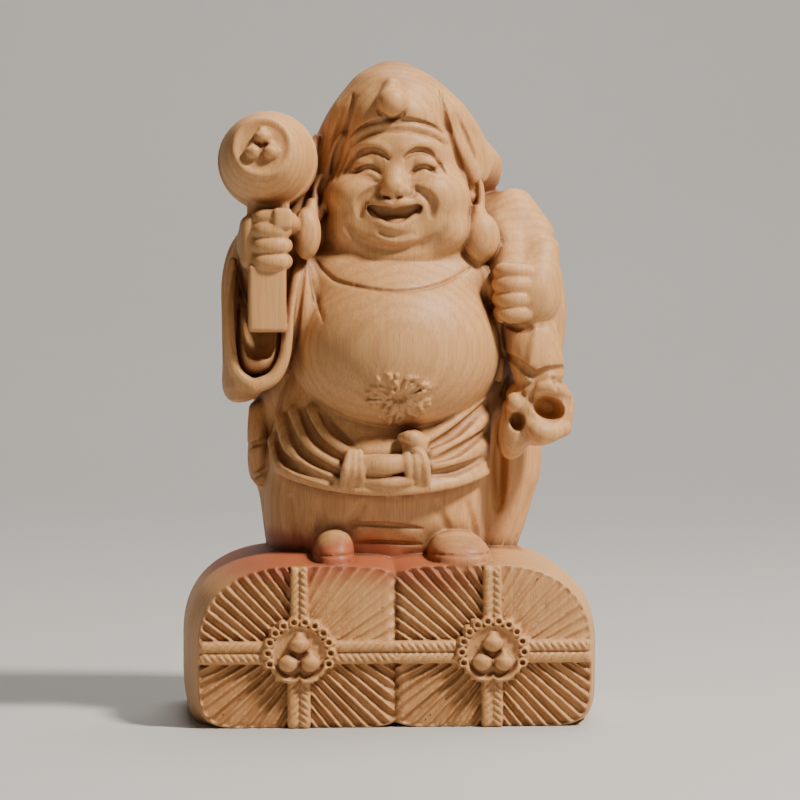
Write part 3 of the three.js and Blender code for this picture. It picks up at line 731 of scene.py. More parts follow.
def add_mouth(work):
    for side in (-1, 1):
        work.add(egg(on_head((7.4 * side, -8.7, MOUTH_LINE + 3.6)), [4.6, 4, 4.1]), 1.2)
        crease = [(3.4, 4.6), (4.8, 3.7), (6.2, 2.7), (7.1, 1.3), (7.0, -0.8)]
        work.carved(on_face(crease, MOUTH_LINE, side), [0.4, 0.85, 1.1, 1.05, 0.5], 0.0, 1.0)
    opening = both_ways([(0, -12.8, -1.0), (2.4, -12.6, -0.6), (4.3, -12, 0.4), (5.5, -11.2, 1.3)])
    work.cut(head_limb(opening, MOUTH_LINE, [0.5, 1.1, 1.75, 2.0, 1.75, 1.1, 0.5]), 0.4)
    work.add(egg(on_head((0, -10, MOUTH_LINE - 2.1)), [3.2, 2.3, 1.2]), 0.4)
    upper = both_ways([(0, -13.2, 1.1), (1.3, -13.2, 1.7), (3.4, -12.3, 1.7), (5.4, -11.2, 2)])
    work.add(head_limb(upper, MOUTH_LINE, [0.5, 0.75, 0.85, 0.65, 0.85, 0.75, 0.5]), 0.35)
    lower = both_ways([(0, -12.9, -3.3), (1.9, -12.6, -2.8), (3.9, -11.7, -1.3), (5.4, -10.7, 0.5)])
    work.add(head_limb(lower, MOUTH_LINE, [0.4, 0.7, 0.85, 0.95, 0.85, 0.7, 0.4]), 0.5)
    groove = [(-3.4, -4.3), (0, -5.1), (3.4, -4.3)]
    work.carved(on_face(groove, MOUTH_LINE), [0.4, 0.75, 0.4], -0.1, 0.9)
    work.carved(on_face([(0, 3.4), (0, 2.6)], MOUTH_LINE), [0.35, 0.35], -0.1, 0.5)


def add_ears(work):
    """Long ears with heavy lobes."""
    work.add(egg([-13.6, -3, 66.4], [4, 5, 8]), 1)
    work.add(egg([16.2, -4.6, 74], [1.7, 2, 3.8]), 0.6)
    rim = [[15, -6.2, 75.8], [16.4, -6, 77], [18, -5.8, 75.8], [18.4, -6, 72.8], [18, -6.6, 69.4]]
    work.add(limb(rim, [0.5, 0.6, 0.7, 0.8, 1.1]), 0.35)
    work.add(limb([[15.4, -7, 73.4], [15.8, -7.2, 71], [16.8, -7.2, 69]], [0.7, 0.8, 1.1]), 0.6)
    work.add(limb([[17.6, -8, 69.6], [17.9, -10, 66]], [1.7, 3.4]), 1.0)
    work.add(egg([17.9, -10.4, 64.7], [3.9, 3.6, 5.1]), 0.5)
    work.cut(egg([16.9, -7.4, 74], [0.7, 1.6, 1.3]), 0.4)
    work.add(egg([-13.2, -5.8, 73.6], [1.8, 2, 4.2]), 0.6)
    rim = [
        [-11.8, -7.2, 76], [-13.2, -7, 77], [-14.6, -7.6, 75.2], [-15, -8.8, 72.4], [-15.4, -10, 69.6],
    ]
    work.add(limb(rim, [0.5, 0.6, 0.7, 0.8, 1.1]), 0.35)
    work.add(limb([[-12.6, -9, 74], [-13, -9.6, 71.4], [-14.4, -10.2, 69]], [0.6, 0.7, 1.0]), 0.6)
    work.add(limb([[-15.8, -11.4, 71.4], [-16.6, -13.4, 67]], [1.2, 2.3]), 1.0)
    work.add(egg([-16.9, -14, 65.6], [2.9, 3.2, 5.2]), 0.6)
    work.cut(egg([-14, -9.2, 74], [0.6, 1.5, 1.2]), 0.4)


def add_cap(work):
    crown = [
        [72.2, 4.4, 8, 17.2, 7.6],
        [74, 4.5, 7.2, 18, 9],
        [78, 4.8, 5.6, 18.9, 11.4],
        [81, 4.4, 4.2, 18.7, 12.3],
        [84.4, 3.1, 2.4, 17, 13],
        [88, 2.6, 0.3, 15.4, 13.6],
        [91.4, 2, -1.6, 12.9, 13],
        [94.6, 1.6, -2.6, 10.1, 11],
        [97.4, 1, -3, 6.9, 7.8],
        [99.9, 0.8, -3, 2, 2.6],
    ]
    work.add(loft(crown), 0.8)
    panel = [
        [87.6, 1.2, -5.8, 10.2, 10.5],
        [89, 1.2, -6, 10.4, 10.7],
        [91.4, 1.2, -5.9, 10, 10.3],
        [94, 1, -5.4, 9.4, 8.8],
        [97, 1, -4.4, 6.4, 6],
        [99, 1, -3.6, 2.6, 2.6],
    ]
    work.add(loft(panel, 2.2, hem=-3.8, rounding=0.7), 0.9)
    for temple in (
        [[-9.2, -9.6, 84.8], [-11.2, -7.6, 80.6], [-12.4, -5.6, 77]],
        [[11.8, -9.4, 87], [14.6, -8.8, 81], [16.6, -7, 77]],
    ):
        work.add(limb(temple, [0.8, 1.3, 1.6]), 1.4)
    above = [(-8, 84.8), (-4.8, 87), (-0.6, 88), (3.9, 87.8), (7.9, 86.8), (10.5, 85.4)]
    work.carved(above, [0.3, 0.45, 0.5, 0.5, 0.45, 0.3], 0.2, 0.25)
    edge = [(-8, 83.9), (-4.9, 86), (-0.6, 86.9), (4.2, 86.6), (8.4, 85.4), (10.9, 83.8)]
    work.raised(edge, [0.55, 0.75, 0.8, 0.8, 0.75, 0.55], 0.1, 0.2)
    below = [(-8.2, 82.6), (-5, 84.9), (-0.6, 85.8), (4.6, 85.4), (9, 84.1), (11, 82.5)]
    work.carved(below, [0.2, 0.3, 0.3, 0.3, 0.3, 0.2], 0.1, 0.2)
    work.add(limb([[0, -15.2, 92], [0.2, -13.6, 94.6]], [2.7, 1.6]), 2.2)
    work.add(egg([-0.1, -16.6, 91.5], [2.9, 2.8, 2.8]), 1.0)
    under = [(-2.9, 89.9), (-2.1, 88.8), (-0.1, 88.2), (1.9, 88.8), (2.7, 89.9)]
    work.carved(under, [0.25, 0.45, 0.5, 0.45, 0.25], 0.1, 0.25)
    work.add(limb([[12.2, -6, 89], [15.6, -4.6, 82.4], [17.4, -2.6, 78]], [2.8, 3.2, 3]), 3.5)
    work.add(limb([[-8.4, -5.4, 89], [-10.4, -4.6, 82.4], [-11.8, -3, 78]], [2.6, 2.8, 2.6]), 3.5)
    add_sockets(work)
    creases = [
        ([(-7.5, 93), (-8, 89), (-9.1, 85.4), (-10.5, 82), (-11.6, 76.4)], 1.4),
        ([(10, 93.6), (10.6, 89.6), (11.5, 86), (12.6, 82.4), (13.6, 79.4), (14.7, 76.6)], 1.3),
        ([(-7.9, 84.2), (-8.5, 82.3), (-9.4, 79.6), (-10.9, 76.2)], 0.7),
        ([(-9.4, 90), (-10.6, 86), (-12, 82)], 0.8),
        ([(13.2, 89), (15.4, 84.6), (17.2, 80.6)], 0.8),
    ]
    for places, scale in creases:
        work.carved(places, swelling(0.3 * scale, 0.55 * scale, len(places)), 0.1, 0.5)
    rim = [(19.6, 77), (19.4, 81), (16.8, 86)]
    work.carved(rim, [0.3, 0.6, 0.4], -0.1, 1.4)
    tail = [[-10.8, 0, 85], [-15.6, -2, 78], [-18.2, -4, 70], [-19, -6, 62]]
    work.add(limb(tail, [2.4, 3.4, 3.2, 2.6]), 2.4)
    for x in (-15.6, -17.6):
        web = [[x + 1.4, -3, 85 + 0.8 * (x + 15)], [x, -5, 80], [x + 0.4, -6.4, 75]]
        work.add(limb(web, [0.9, 1.2, 1.0]), 0.5)


# The arms

def fingers(work, path, levels, radii, depths):
    """Fingers that curl round a fist, one above the other, along the same level path."""
    for level, radius, depth in zip(levels, radii, depths):
        points = [[x, y + depth, level] for x, y in path]
        widths = [radius * 0.9] + [radius] * (len(path) - 2) + [radius * 0.85]
        work.add(limb(points, widths, steps=4), 0.15)


def add_right_arm(work):
    sleeve = [
        [32, -30, -5, 1.6, 6],
        [33.2, -29.5, -5, 3.2, 9],
        [35.4, -28.8, -5, 4.5, 10.6],
        [40, -27.2, -4, 6, 12.6],
        [48, -26.4, -3, 6.9, 13],
        [56, -25.7, -2, 7.6, 12],
        [62, -24.8, -1, 7.2, 10],
        [66, -24.2, 0, 5.4, 8],
        [69, -24, 0, 3, 5],
    ]
    work.add(loft(sleeve, 2.6), 1.0)
    work.add(limb([[-14, 3, 57], [-24, 0, 59]], [7.6, 7]), 2.5)
    mouth = [
        [36.8, -26.6, -17, 1.6, 4],
        [38.2, -26.5, -17, 3.4, 7],
        [41, -26.3, -17, 4.7, 9.5],
        [46, -26.3, -17, 4.9, 11],
        [54, -26.4, -17, 5, 11],
        [61, -26.4, -17, 4.6, 7],
    ]
    work.cut(loft(mouth, 2.3), 0.5)
    lining = [
        [37.8, -26.4, -11, 2.6, 2.4],
        [39.4, -26.3, -11, 3.9, 3.8],
        [43, -26.2, -11, 4.5, 4.4],
        [47.6, -26.2, -9.6, 4.4, 3],
        [54, -26.2, -8, 4, 1.6],
    ]
    work.add(loft(lining, 2.2), 0.2)
    hollow = [
        [40.6, -26.2, -13.6, 1.6, 2],
        [41.8, -26.2, -13.6, 2.6, 3.4],
        [45, -26.2, -13, 3.4, 5.4],
        [49, -26.2, -12, 3.6, 6.4],
        [56, -26.2, -11, 3.6, 6.4],
    ]
    work.cut(loft(hollow, 2.2), 0.5)
    corner = [-27.4, -15, 35.4]
    outer = [[-31.4, -12.6, 60], [-32.2, -14, 52], [-32, -14.4, 44], [-30.8, -14.4, 38.2], corner]
    work.add(limb(outer, [0.9, 1.1, 1.1, 1.2, 1.4]), 0.6)
    lip = [
        corner, [-23.6, -15, 37], [-21.4, -15, 41],
        [-20.6, -14.8, 46], [-19.8, -14.2, 52], [-18.6, -12.4, 58],
    ]
    work.add(limb(lip, [1.5, 1.4, 1.2, 1.1, 1.0, 0.9]), 0.5)
    for fold in (
        [(-31, 58), (-31.8, 50), (-31.2, 42)],
        [(-29.6, 60.6), (-30.6, 55), (-30.4, 50)],
    ):
        work.carved(fold, [0.25, 0.5, 0.25], -0.1, 1.0)


def add_right_hand(work):
    work.add(rounded_block(spot([-25.4, -14.3, 63.8]), [6.9, 5.6, 8.1], 3), 0.8)
    work.add(egg([-25.6, -12, 63.6], [5, 5.2, 5.4]), 1.4)
    path = [(-26.6, -16.6), (-25.8, -18), (-24.2, -18.6), (-22.4, -18.4), (-21.4, -17)]
    fingers(work, path, [60.1, 63.2, 66.2, 68.7], [1.95, 1.95, 1.9, 1.6], [0, -0.1, 0, 0.4])
    work.add(limb([[-19.9, -15.2, 67], [-20.6, -17.4, 68], [-21.4, -18.6, 68.4]], [1.9, 1.9, 1.7]), 0.25)
    work.add(rounded_block(spot([-21.9, -19.1, 68.5]), [2.9, 2.4, 3.2], 1.6), 0.3)
    work.add(limb([[-26, -11, 59], [-26, -5, 55]], [3.8, 4.2]), 1.0)


MALLET_RADIUS = 14.2
MALLET_END_RADIUS = 8.8
MALLET_LENGTH = 34.0
RIM_WIDTH = 0.9  # of the raised edge round the dished end
RIM_SLOPE = 1.3
END_DISH = 0.5
MALLET_TURN = (-13, 0, -8)
HOOP_WIDTH = 4.4
HOOP_PROUD = 0.6
HANDLE_WIDTH = 11.2
HANDLE_DEPTH = 8.0
HANDLE_TOP = 59.4
HANDLE_END = 46.2
CARVED_JEWEL_RADIUS = 2.6
CARVED_JEWEL_TIP = 1.1


def add_mallet(work):
    """A handle that comes down out of the fist, and a barrel head that points at the viewer."""
    top, end = spot([-24.8, -16.6, HANDLE_TOP]), spot([-24.8, -16.6, HANDLE_END])
    half = [HANDLE_WIDTH / 2, HANDLE_DEPTH / 2, (top[2] - end[2]) / 2]
    work.add(rounded_block((top + end) / 2, half, 1.1), 0.3)
    work.add(rounded_block(spot([-24.4, -12.6, 71]), [6.2, 5.2, 6.4], 2.4), 1.0)
    middle = spot([-24.4, -11.4, 79.9])
    spin = np.array(Euler([math.radians(a) for a in MALLET_TURN]).to_matrix())
    half_length = MALLET_LENGTH / 2

    def distance(points):
        local = (points - middle) @ spin
        along, reach = local[:, 1], np.hypot(local[:, 0], local[:, 2])
        share = np.clip(np.abs(along) / half_length, 0, 1)
        bulge = MALLET_END_RADIUS + (MALLET_RADIUS - MALLET_END_RADIUS) * (1 - share**2)
        hoop = HOOP_PROUD * smooth_step(HOOP_WIDTH / 2 + 0.3, HOOP_WIDTH / 2 - 0.2, np.abs(along))
        side = (reach - bulge - hoop) * 0.85
        rim = MALLET_END_RADIUS - RIM_WIDTH
        dish = END_DISH * smooth_step(rim, rim - RIM_SLOPE, reach)
        return soft_most(side, np.abs(along) - half_length + dish, 0.35)

    reach = half_length + 4
    work.add(Form(distance, middle - reach, middle + reach), 0.5)
    spread = 2 / math.sqrt(3) * CARVED_JEWEL_RADIUS
    for degrees in JEWEL_DEGREES:
        x, z = spread * math.cos(math.radians(degrees)), spread * math.sin(math.radians(degrees))
        low = middle + spin @ np.array([x, -half_length + 0.2, z + 0.4])
        high = middle + spin @ np.array([x, -half_length + 0.4, z + 2.3])
        work.add(bar([[*low, CARVED_JEWEL_RADIUS], [*high, CARVED_JEWEL_TIP]]), 0.35)


def add_left_arm(work):
    sleeve = [
        [38.6, 30.4, -2.4, 3.4, 6],
        [39.8, 30.2, -2.4, 4.6, 8],
        [43, 29.8, -2, 5.6, 9.4],
        [50, 29.3, -1.5, 6.7, 10.4],
        [57, 28.3, -1, 6.9, 10.4],
        [62.6, 27, 0, 6.4, 9.4],
        [67.5, 25, 1.5, 4.6, 7],
        [70.5, 23.6, 2.5, 2.6, 4],
    ]
    work.add(loft(sleeve), 2.6)
    for fold in (
        [(33.8, 60), (34.6, 53), (34.4, 45)],
        [(31.4, 62.6), (32.6, 58), (33, 54)],
        [(33.6, 47), (33.4, 42), (31.6, 38.6)],
    ):
        work.carved(fold, [0.25, 0.6, 0.3], -0.1, 1.2)


def add_left_hand(work):
    work.add(egg([28.4, -11, 53.4], [5.6, 5.6, 6.6]), 1.2)
    work.add(rounded_block(spot([25.4, -11.6, 53.2]), [6.4, 5.4, 8], 2.6), 1.2)
    path = [(26.4, -14.8), (24.6, -15.4), (22.8, -15), (21.9, -13.4), (21.7, -11)]
    fingers(work, path, [49.7, 52.5, 55.4, 58], [1.9, 1.95, 1.95, 1.65], [0.2, 0, 0, 0.3])
    work.add(limb([[29.8, -11, 57.4], [30.4, -7.6, 62]], [3.6, 3.6]), 3)
    work.add(limb([[25.6, 1, 70], [29, -3, 65]], [4.6, 4.4]), 3)


def add_sack(work):
    work.add(egg([5, 14, 46], [25, 15.4, 23]), 2.5)
    work.add(egg([12, 11, 60], [19, 12, 16]), 3)
    work.add(limb([[20.4, 8, 66.2], [23.8, -1, 64], [24.6, -9, 57]], [8.6, 7, 5]), 1.5)


def add_sack_mouth(work):
    """The sack's neck under the left fist, tied, and its gathered mouth below."""
    work.add(limb([[27.2, -9, 48], [28.4, -10.6, 43], [29.4, -11.4, 38.6]], [5.6, 5.6, 5.3], 0.9), 0.6)
    work.carved([(21.6, 48.2), (25.4, 46.8), (30.4, 47.4)], [0.4, 0.8, 0.3], 0.0, 0.4)
    work.raised([(28.6, 47), (28, 43), (27.2, 39.6)], [0.5, 0.8, 0.5], 0.45, 1.4)
    work.add(egg([29.6, -9.6, 30.6], [7.2, 6.6, 7.4]), 0.6)
    work.add(egg([25, -10.6, 27], [3.6, 4.6, 6.6], [0, 14, 0]), 1.6)
    work.add(limb([[26.8, -14.2, 28.6], [29.8, -15.6, 26], [34.4, -13.4, 26.8]], [1.5, 2.1, 1.5]), 1.4)
    work.add(limb([[27.2, -14.6, 34.2], [31, -15.8, 35.4], [35, -13, 33.4]], [1.1, 1.4, 1.1]), 0.9)
    work.add(egg([24.4, -14.4, 32], [1.9, 2.2, 2.1]), 0.7)
    work.cut(egg([31.2, -15.6, 30.9], [3.3, 6, 2.4], [0, 24, 0]), 0.35)
    work.cut(egg([24.9, -15.2, 28.3], [1.5, 3.6, 1.9]), 0.4)
    tie = [(22.8, 41.4), (25.6, 39.4), (28.2, 37.4), (31, 38.4), (35.2, 38.8)]
    work.carved(tie, [0.7, 1.0, 1.15, 1.0, 0.7], 0.0, 0.4)
    for places in (
        [(31.6, 37.4), (32.4, 35.8), (32.8, 34.4)],
        [(28.4, 36.4), (27.4, 33), (28, 30.4)],
        [(35, 36.6), (35.8, 32.6), (35.4, 29.6)],
        [(24.2, 37.6), (22.8, 33.4), (22.6, 29)],
    ):
        work.carved(places, [0.25, 0.55, 0.25], -0.05, 0.6)


def add_back_folds(work):
    """Slow folds down the back and the sides of the coat, the sack, the sleeves and the cap."""
    for places, scale in (
        ([(22, 14, 66), (12, 26, 60), (0, 30, 50), (-12, 27, 40)], 1.0),
        ([(24, 12, 60), (17, 25, 50), (8, 30, 38), (1, 28, 29)], 1.0),
        ([(18, 18, 71), (6, 26, 66), (-8, 24, 58)], 0.9),
        ([(26, 8, 56), (26, 17, 46), (22, 23, 35)], 0.8),
        ([(-20, 20, 25), (-18, 21, 13), (-16, 19, 3)], 0.9),
        ([(-9, 24, 24), (-8, 24, 13), (-7, 22, 3)], 0.7),
        ([(3, 25, 22), (3, 25, 12), (3, 22, 3)], 0.9),
        ([(15, 23, 25), (14, 23, 13), (13, 21, 3)], 0.7),
        ([(25, 18, 27), (24, 19, 14), (21, 18, 3)], 0.9),
        ([(31, 8, 30), (31.4, 9, 17), (28, 9, 4)], 0.8),
        ([(-27, 9, 30), (-27, 10, 16), (-23, 10, 4)], 0.8),
        ([(34, -2, 60), (36, -1, 53), (35.6, 0, 44)], 0.8),
        ([(32, 4, 63), (35, 5, 56), (35, 5, 46)], 1.0),
        ([(-30, -3, 65), (-33.4, -5, 54), (-32.6, -7, 41)], 1.15),
        ([(-29, 3, 65), (-32.4, 2, 54), (-31.6, 0, 40)], 1.2),
        ([(-28, 7, 61), (-30.6, 8, 52), (-29.6, 6, 42)], 1.0),
        ([(-2.4, 6, 95), (-6.4, 11.6, 86), (-8.6, 12.6, 77)], 0.7),
        ([(2, 8, 94.4), (3.4, 14.4, 86), (3.6, 15.8, 77)], 0.8),
        ([(5.4, 6, 95), (12.4, 11, 86), (15.4, 12, 77.4)], 0.7),
        ([(9, 0, 93.6), (16.6, 4.4, 86.4), (21, 5.6, 78.4)], 0.7),
    ):
        work.carved(places, swelling(0.15 * scale, 1.2 * scale, len(places)), -0.1, 2.8)
    hem = [(-12.4, 5, 75.2), (-8.6, 12, 75.2), (4.6, 15.4, 75), (16.4, 12.2, 75.2), (22, 5.4, 75.4)]
    work.carved(hem, [0.25, 0.4, 0.4, 0.4, 0.25], 0, 0.5)


def sculpt():
    work = Sculpture()
    add_coat(work)
    add_lower_body(work)
    add_skirt(work)
    add_drapes(work)
    add_sack(work)
    add_trunk(work)
    add_left_arm(work)
    add_right_arm(work)
    add_chest(work)
    add_navel(work)
    add_belt(work)
    add_head(work)
    add_face(work)
    add_cap(work)
    add_ears(work)
    add_mallet(work)
    add_right_hand(work)
    add_left_hand(work)
    add_sack_mouth(work)
    add_back_folds(work)
    add_bales(work)
    return work


# From the field of distances to a mesh

SMALL_BLOCK = 4  # cells along each side of the blocks that are worked out in full
POINTS_AT_ONCE = 60000
THREADS = 4
FAR_REACH, NEAR_REACH = 12.0, 2.5  # how far from a form rough and exact distances have to be right
CUBE_CORNERS = np.argwhere(np.ones((2, 2, 2)))


def in_threads(work, corners, size, cell, steps, reach):
    """Distances at every point of small grids: corners are their lowest points in millimetres."""
    offsets = np.stack(np.meshgrid(*[np.arange(steps)] * 3, indexing="ij"), axis=-1).reshape(-1, 3)
    offsets = (offsets * cell).astype(np.float32)
    parts = max(2 * THREADS, len(corners) * len(offsets) // POINTS_AT_ONCE)

    def some(rows):
        low = corners[rows]
        points = (low[:, None] + offsets[None]).astype(np.float32)
        return work.in_blocks(points, low, low + size, reach)

    with ThreadPoolExecutor(THREADS) as pool:
        return np.concatenate(list(pool.map(some, np.array_split(np.arange(len(corners)), parts))))


def coarse_field(work, low, count, cell):
    """Distances at single points, a whole number of cells apart."""
    places = np.stack(np.meshgrid(*[np.arange(n) for n in count], indexing="ij"), axis=-1)
    corners = (low + places.reshape(-1, 3) * cell).astype(np.float32)
    return in_threads(work, corners, 0.0, cell, 1, FAR_REACH).reshape(count)


def fine_field(work, low, count, cell):
    """Distances on a fine grid, exact only near the surface."""
    big = 2 * SMALL_BLOCK
    blocks = [-(-n // big) for n in count]
    middle = low + (big - 1) / 2 * cell
    rough = coarse_field(work, middle, blocks, big * cell)
    field = rough
    for axis in range(3):
        field = np.repeat(field, big, axis)
    shape = [n * 2 for n in blocks]
    small = field.reshape(shape[0], SMALL_BLOCK, shape[1], SMALL_BLOCK, shape[2], SMALL_BLOCK)
    small = small.transpose(0, 2, 4, 1, 3, 5)
    near = np.argwhere(np.abs(rough) < 1.5 * big * cell)
    children = (2 * near[:, None] + CUBE_CORNERS[None]).reshape(-1, 3)
    corners = (low + children * SMALL_BLOCK * cell).astype(np.float32)
    size = SMALL_BLOCK * cell
    half = (SMALL_BLOCK - 1) / 2 * cell
    centre = in_threads(work, corners + np.float32(half), 0.0, cell, 1, FAR_REACH)[:, 0]
    small[tuple(children.T)] = centre[:, None, None, None]
    close = np.abs(centre) < 1.35 * size
    values = in_threads(work, corners[close], size, cell, SMALL_BLOCK, NEAR_REACH)
    small[tuple(children[close].T)] = values.reshape(-1, *[SMALL_BLOCK] * 3)
    return field


def surface_net(field, low, cell):
    """The surface where the field is zero: points in millimetres, and faces with four corners."""
    inside = field < 0
    n = np.array(field.shape) - 1
    filled = np.zeros(n, np.uint8)
    for i, j, k in CUBE_CORNERS:
        filled += inside[i:i + n[0], j:j + n[1], k:k + n[2]]
    mixed = (filled > 0) & (filled < 8)
    cells = np.argwhere(mixed)
    values = [field[tuple((cells + offset).T)] for offset in CUBE_CORNERS]
    total, crossings = np.zeros((len(cells), 3)), np.zeros(len(cells))
    for a in range(8):
        for axis in range(3):
            if CUBE_CORNERS[a][axis]:
                continue
            b = a + (4, 2, 1)[axis]
            crossed = (values[a] < 0) != (values[b] < 0)
            share = np.where(crossed, values[a] / (values[a] - values[b] + 1e-12), 0)
            place = np.repeat(CUBE_CORNERS[a][None].astype(float), len(cells), 0)
            place[:, axis] += share
            total += place * crossed[:, None]
            crossings += crossed
    points = low + (cells + total / crossings[:, None]) * cell
    numbers = np.full(n, -1, np.int32)
    numbers[mixed] = np.arange(len(cells))
    faces = []
    for axis in range(3):
        one, two = (axis + 1) % 3, (axis + 2) % 3
        start = [slice(1, m) for m in n]
        start[axis] = slice(0, n[axis])
        end = list(start)
        end[axis] = slice(1, n[axis] + 1)
        leaving = inside[tuple(start)] & ~inside[tuple(end)]
        entering = ~inside[tuple(start)] & inside[tuple(end)]
        shift = np.ones(3, int)
        shift[axis] = 0
        for where, flip in ((leaving, False), (entering, True)):
            edges = np.argwhere(where) + shift
            quad = []
            for back_one, back_two in ((1, 1), (0, 1), (0, 0), (1, 0)):
                cell_at = edges.copy()
                cell_at[:, one] -= back_one
                cell_at[:, two] -= back_two
                quad.append(numbers[tuple(cell_at.T)])
            quad = np.stack(quad, axis=1)
            faces.append(quad[:, ::-1] if flip else quad)
    return points, np.concatenate(faces)


def read_field(field, low, cell, points):
    """Distances between the grid's points."""
    place = np.clip((points - low) / cell, 0, np.array(field.shape) - 1.001)
    i = place.astype(int)
    t = place - i
    found = np.zeros(len(points))
    for offset in CUBE_CORNERS:
        weight = np.prod(np.where(offset, t, 1 - t), axis=1)
        found += weight * field[tuple((i + offset).T)]
    return found


def mesh_of(name, points, faces):
    """A mesh in metres, from points in millimetres and faces with four corners."""
    mesh = bpy.data.meshes.new(name)
    mesh.vertices.add(len(points))
    mesh.vertices.foreach_set("co", (points * MILLIMETRE).astype(np.float32).ravel())
    mesh.loops.add(faces.size)
    mesh.loops.foreach_set("vertex_index", faces.astype(np.int32).ravel())
    mesh.polygons.add(len(faces))
    mesh.polygons.foreach_set("loop_start", np.arange(0, faces.size, 4, dtype=np.int32))
    mesh.update(calc_edges=True)
    mesh.validate()
    return mesh


def thinned(mesh, most):
    """The same surface with fewer faces, and more of them where it bends."""
    piece = bpy.data.objects.new(mesh.name, mesh)
    bpy.context.collection.objects.link(piece)
    triangles = 2 * len(mesh.polygons)
    if triangles > most:
        piece.modifiers.new("fewer", "DECIMATE").ratio = most / triangles
        ready = piece.evaluated_get(bpy.context.evaluated_depsgraph_get())
        less = bpy.data.meshes.new_from_object(ready)
        piece.modifiers.clear()
        piece.data = less
    piece.data.shade_smooth()
    return piece


def add_painted_shade_depth(piece, fine, coarse):
    """Says for every corner of the mesh how deep it lies between other forms, from 0 to 1: how much shade
    is painted into the wood's colour there, as ambient occlusion would cast it.
    """
    mesh = piece.data
    points = np.empty(3 * len(mesh.vertices), np.float32)
    mesh.vertices.foreach_get("co", points)
    normals = np.empty_like(points)
    mesh.vertex_normals.foreach_get("vector", normals)
    points, normals = points.reshape(-1, 3) / MILLIMETRE, normals.reshape(-1, 3)
    depth = np.zeros(len(points))
    for field, reach, weight in ((fine, 0.9, 0.35), (coarse, 2.6, 0.35), (coarse, 6.0, 0.3)):
        away = read_field(*field, points + normals * reach)  # less than reach where a form is near
        depth += weight * np.clip(1 - away / reach, 0, 1)
    # Kept on the mesh as the share of painted shade
    mesh.attributes.new("painted_shade_depth", "FLOAT", "POINT").data.foreach_set("value", depth.astype(np.float32))


def carve():
    """The whole carving as one object."""
    work = sculpt()
    low = np.array([-HALF_WIDTH, -HALF_DEPTH, -MARGIN_BELOW])
    high = np.array([HALF_WIDTH, HALF_DEPTH, TOTAL_HEIGHT + MARGIN_ABOVE])
    count = np.ceil((high - low) / CELL).astype(int)
    fine = fine_field(work, low, count, CELL)
    level = low[2] + CELL * np.arange(fine.shape[2])
    np.maximum(fine, -level.astype(np.float32), out=fine)
    points, faces = surface_net(fine, low, CELL)
    piece = thinned(mesh_of("carving", points, faces), MOST_FACES)
    count = np.ceil((high - low) / COARSE_CELL).astype(int)
    coarse = coarse_field(work, low, count, COARSE_CELL)
    add_painted_shade_depth(piece, (fine, low, CELL), (coarse, low, COARSE_CELL))
    return piece


# Wood

PALE, TAN, DEEP = (0.68, 0.375, 0.155), (0.57, 0.28, 0.1), (0.33, 0.125, 0.04)
# The second colour on the next line is painted shade, the dark of hollows and creases
HEARTWOOD, PAINTED_SHADE = (0.36, 0.075, 0.03), (0.14, 0.042, 0.015)
HEART_SHARE = 0.85
PITH_X, PITH_Y = 0.012, 0.115  # the middle of the growth rings, in metres as all lengths of the wood
RING_SPACING = 0.0026
RING_WANDER = 0.012


def node(tree, kind, inputs=None, **settings):
    made = tree.nodes.new(kind)
    for name, value in settings.items():
        setattr(made, name, value)
    for name, value in (inputs or {}).items():
        if isinstance(value, bpy.types.NodeSocket):
            tree.links.new(value, made.inputs[name])
        else:
            made.inputs[name].default_value = value
    return made


def graded(tree, value, stops):
    """A colour ramp, by (place, colour) stops."""
    ramp = node(tree, "ShaderNodeValToRGB", {"Fac": value})
    while len(ramp.color_ramp.elements) < len(stops):
        ramp.color_ramp.elements.new(0.5)
    for element, (place, colour) in zip(ramp.color_ramp.elements, stops):
        element.position = place
        element.color = (*colour, 1)
    return ramp.outputs["Color"]


def mixed(tree, share, a, b):
    made = node(tree, "ShaderNodeMix", data_type="RGBA")
    for socket, value in ((made.inputs[0], share), (made.inputs[6], a), (made.inputs[7], b)):
        if isinstance(value, bpy.types.NodeSocket):
            tree.links.new(value, socket)
        elif socket == made.inputs[0]:
            socket.default_value = value
        else:
            socket.default_value = (*value, 1)
    return made.outputs[2]


def stretched(tree, place, scale, detail=2, rough=0.5):
    """Noise whose grain is drawn out by the scale along each axis, in features per metre."""
    moved = node(tree, "ShaderNodeMapping", {"Vector": place, "Scale": scale}).outputs[0]
    settings = {"Vector": moved, "Scale": 1.0, "Detail": detail, "Roughness": rough}
    return node(tree, "ShaderNodeTexNoise", settings).outputs["Fac"]


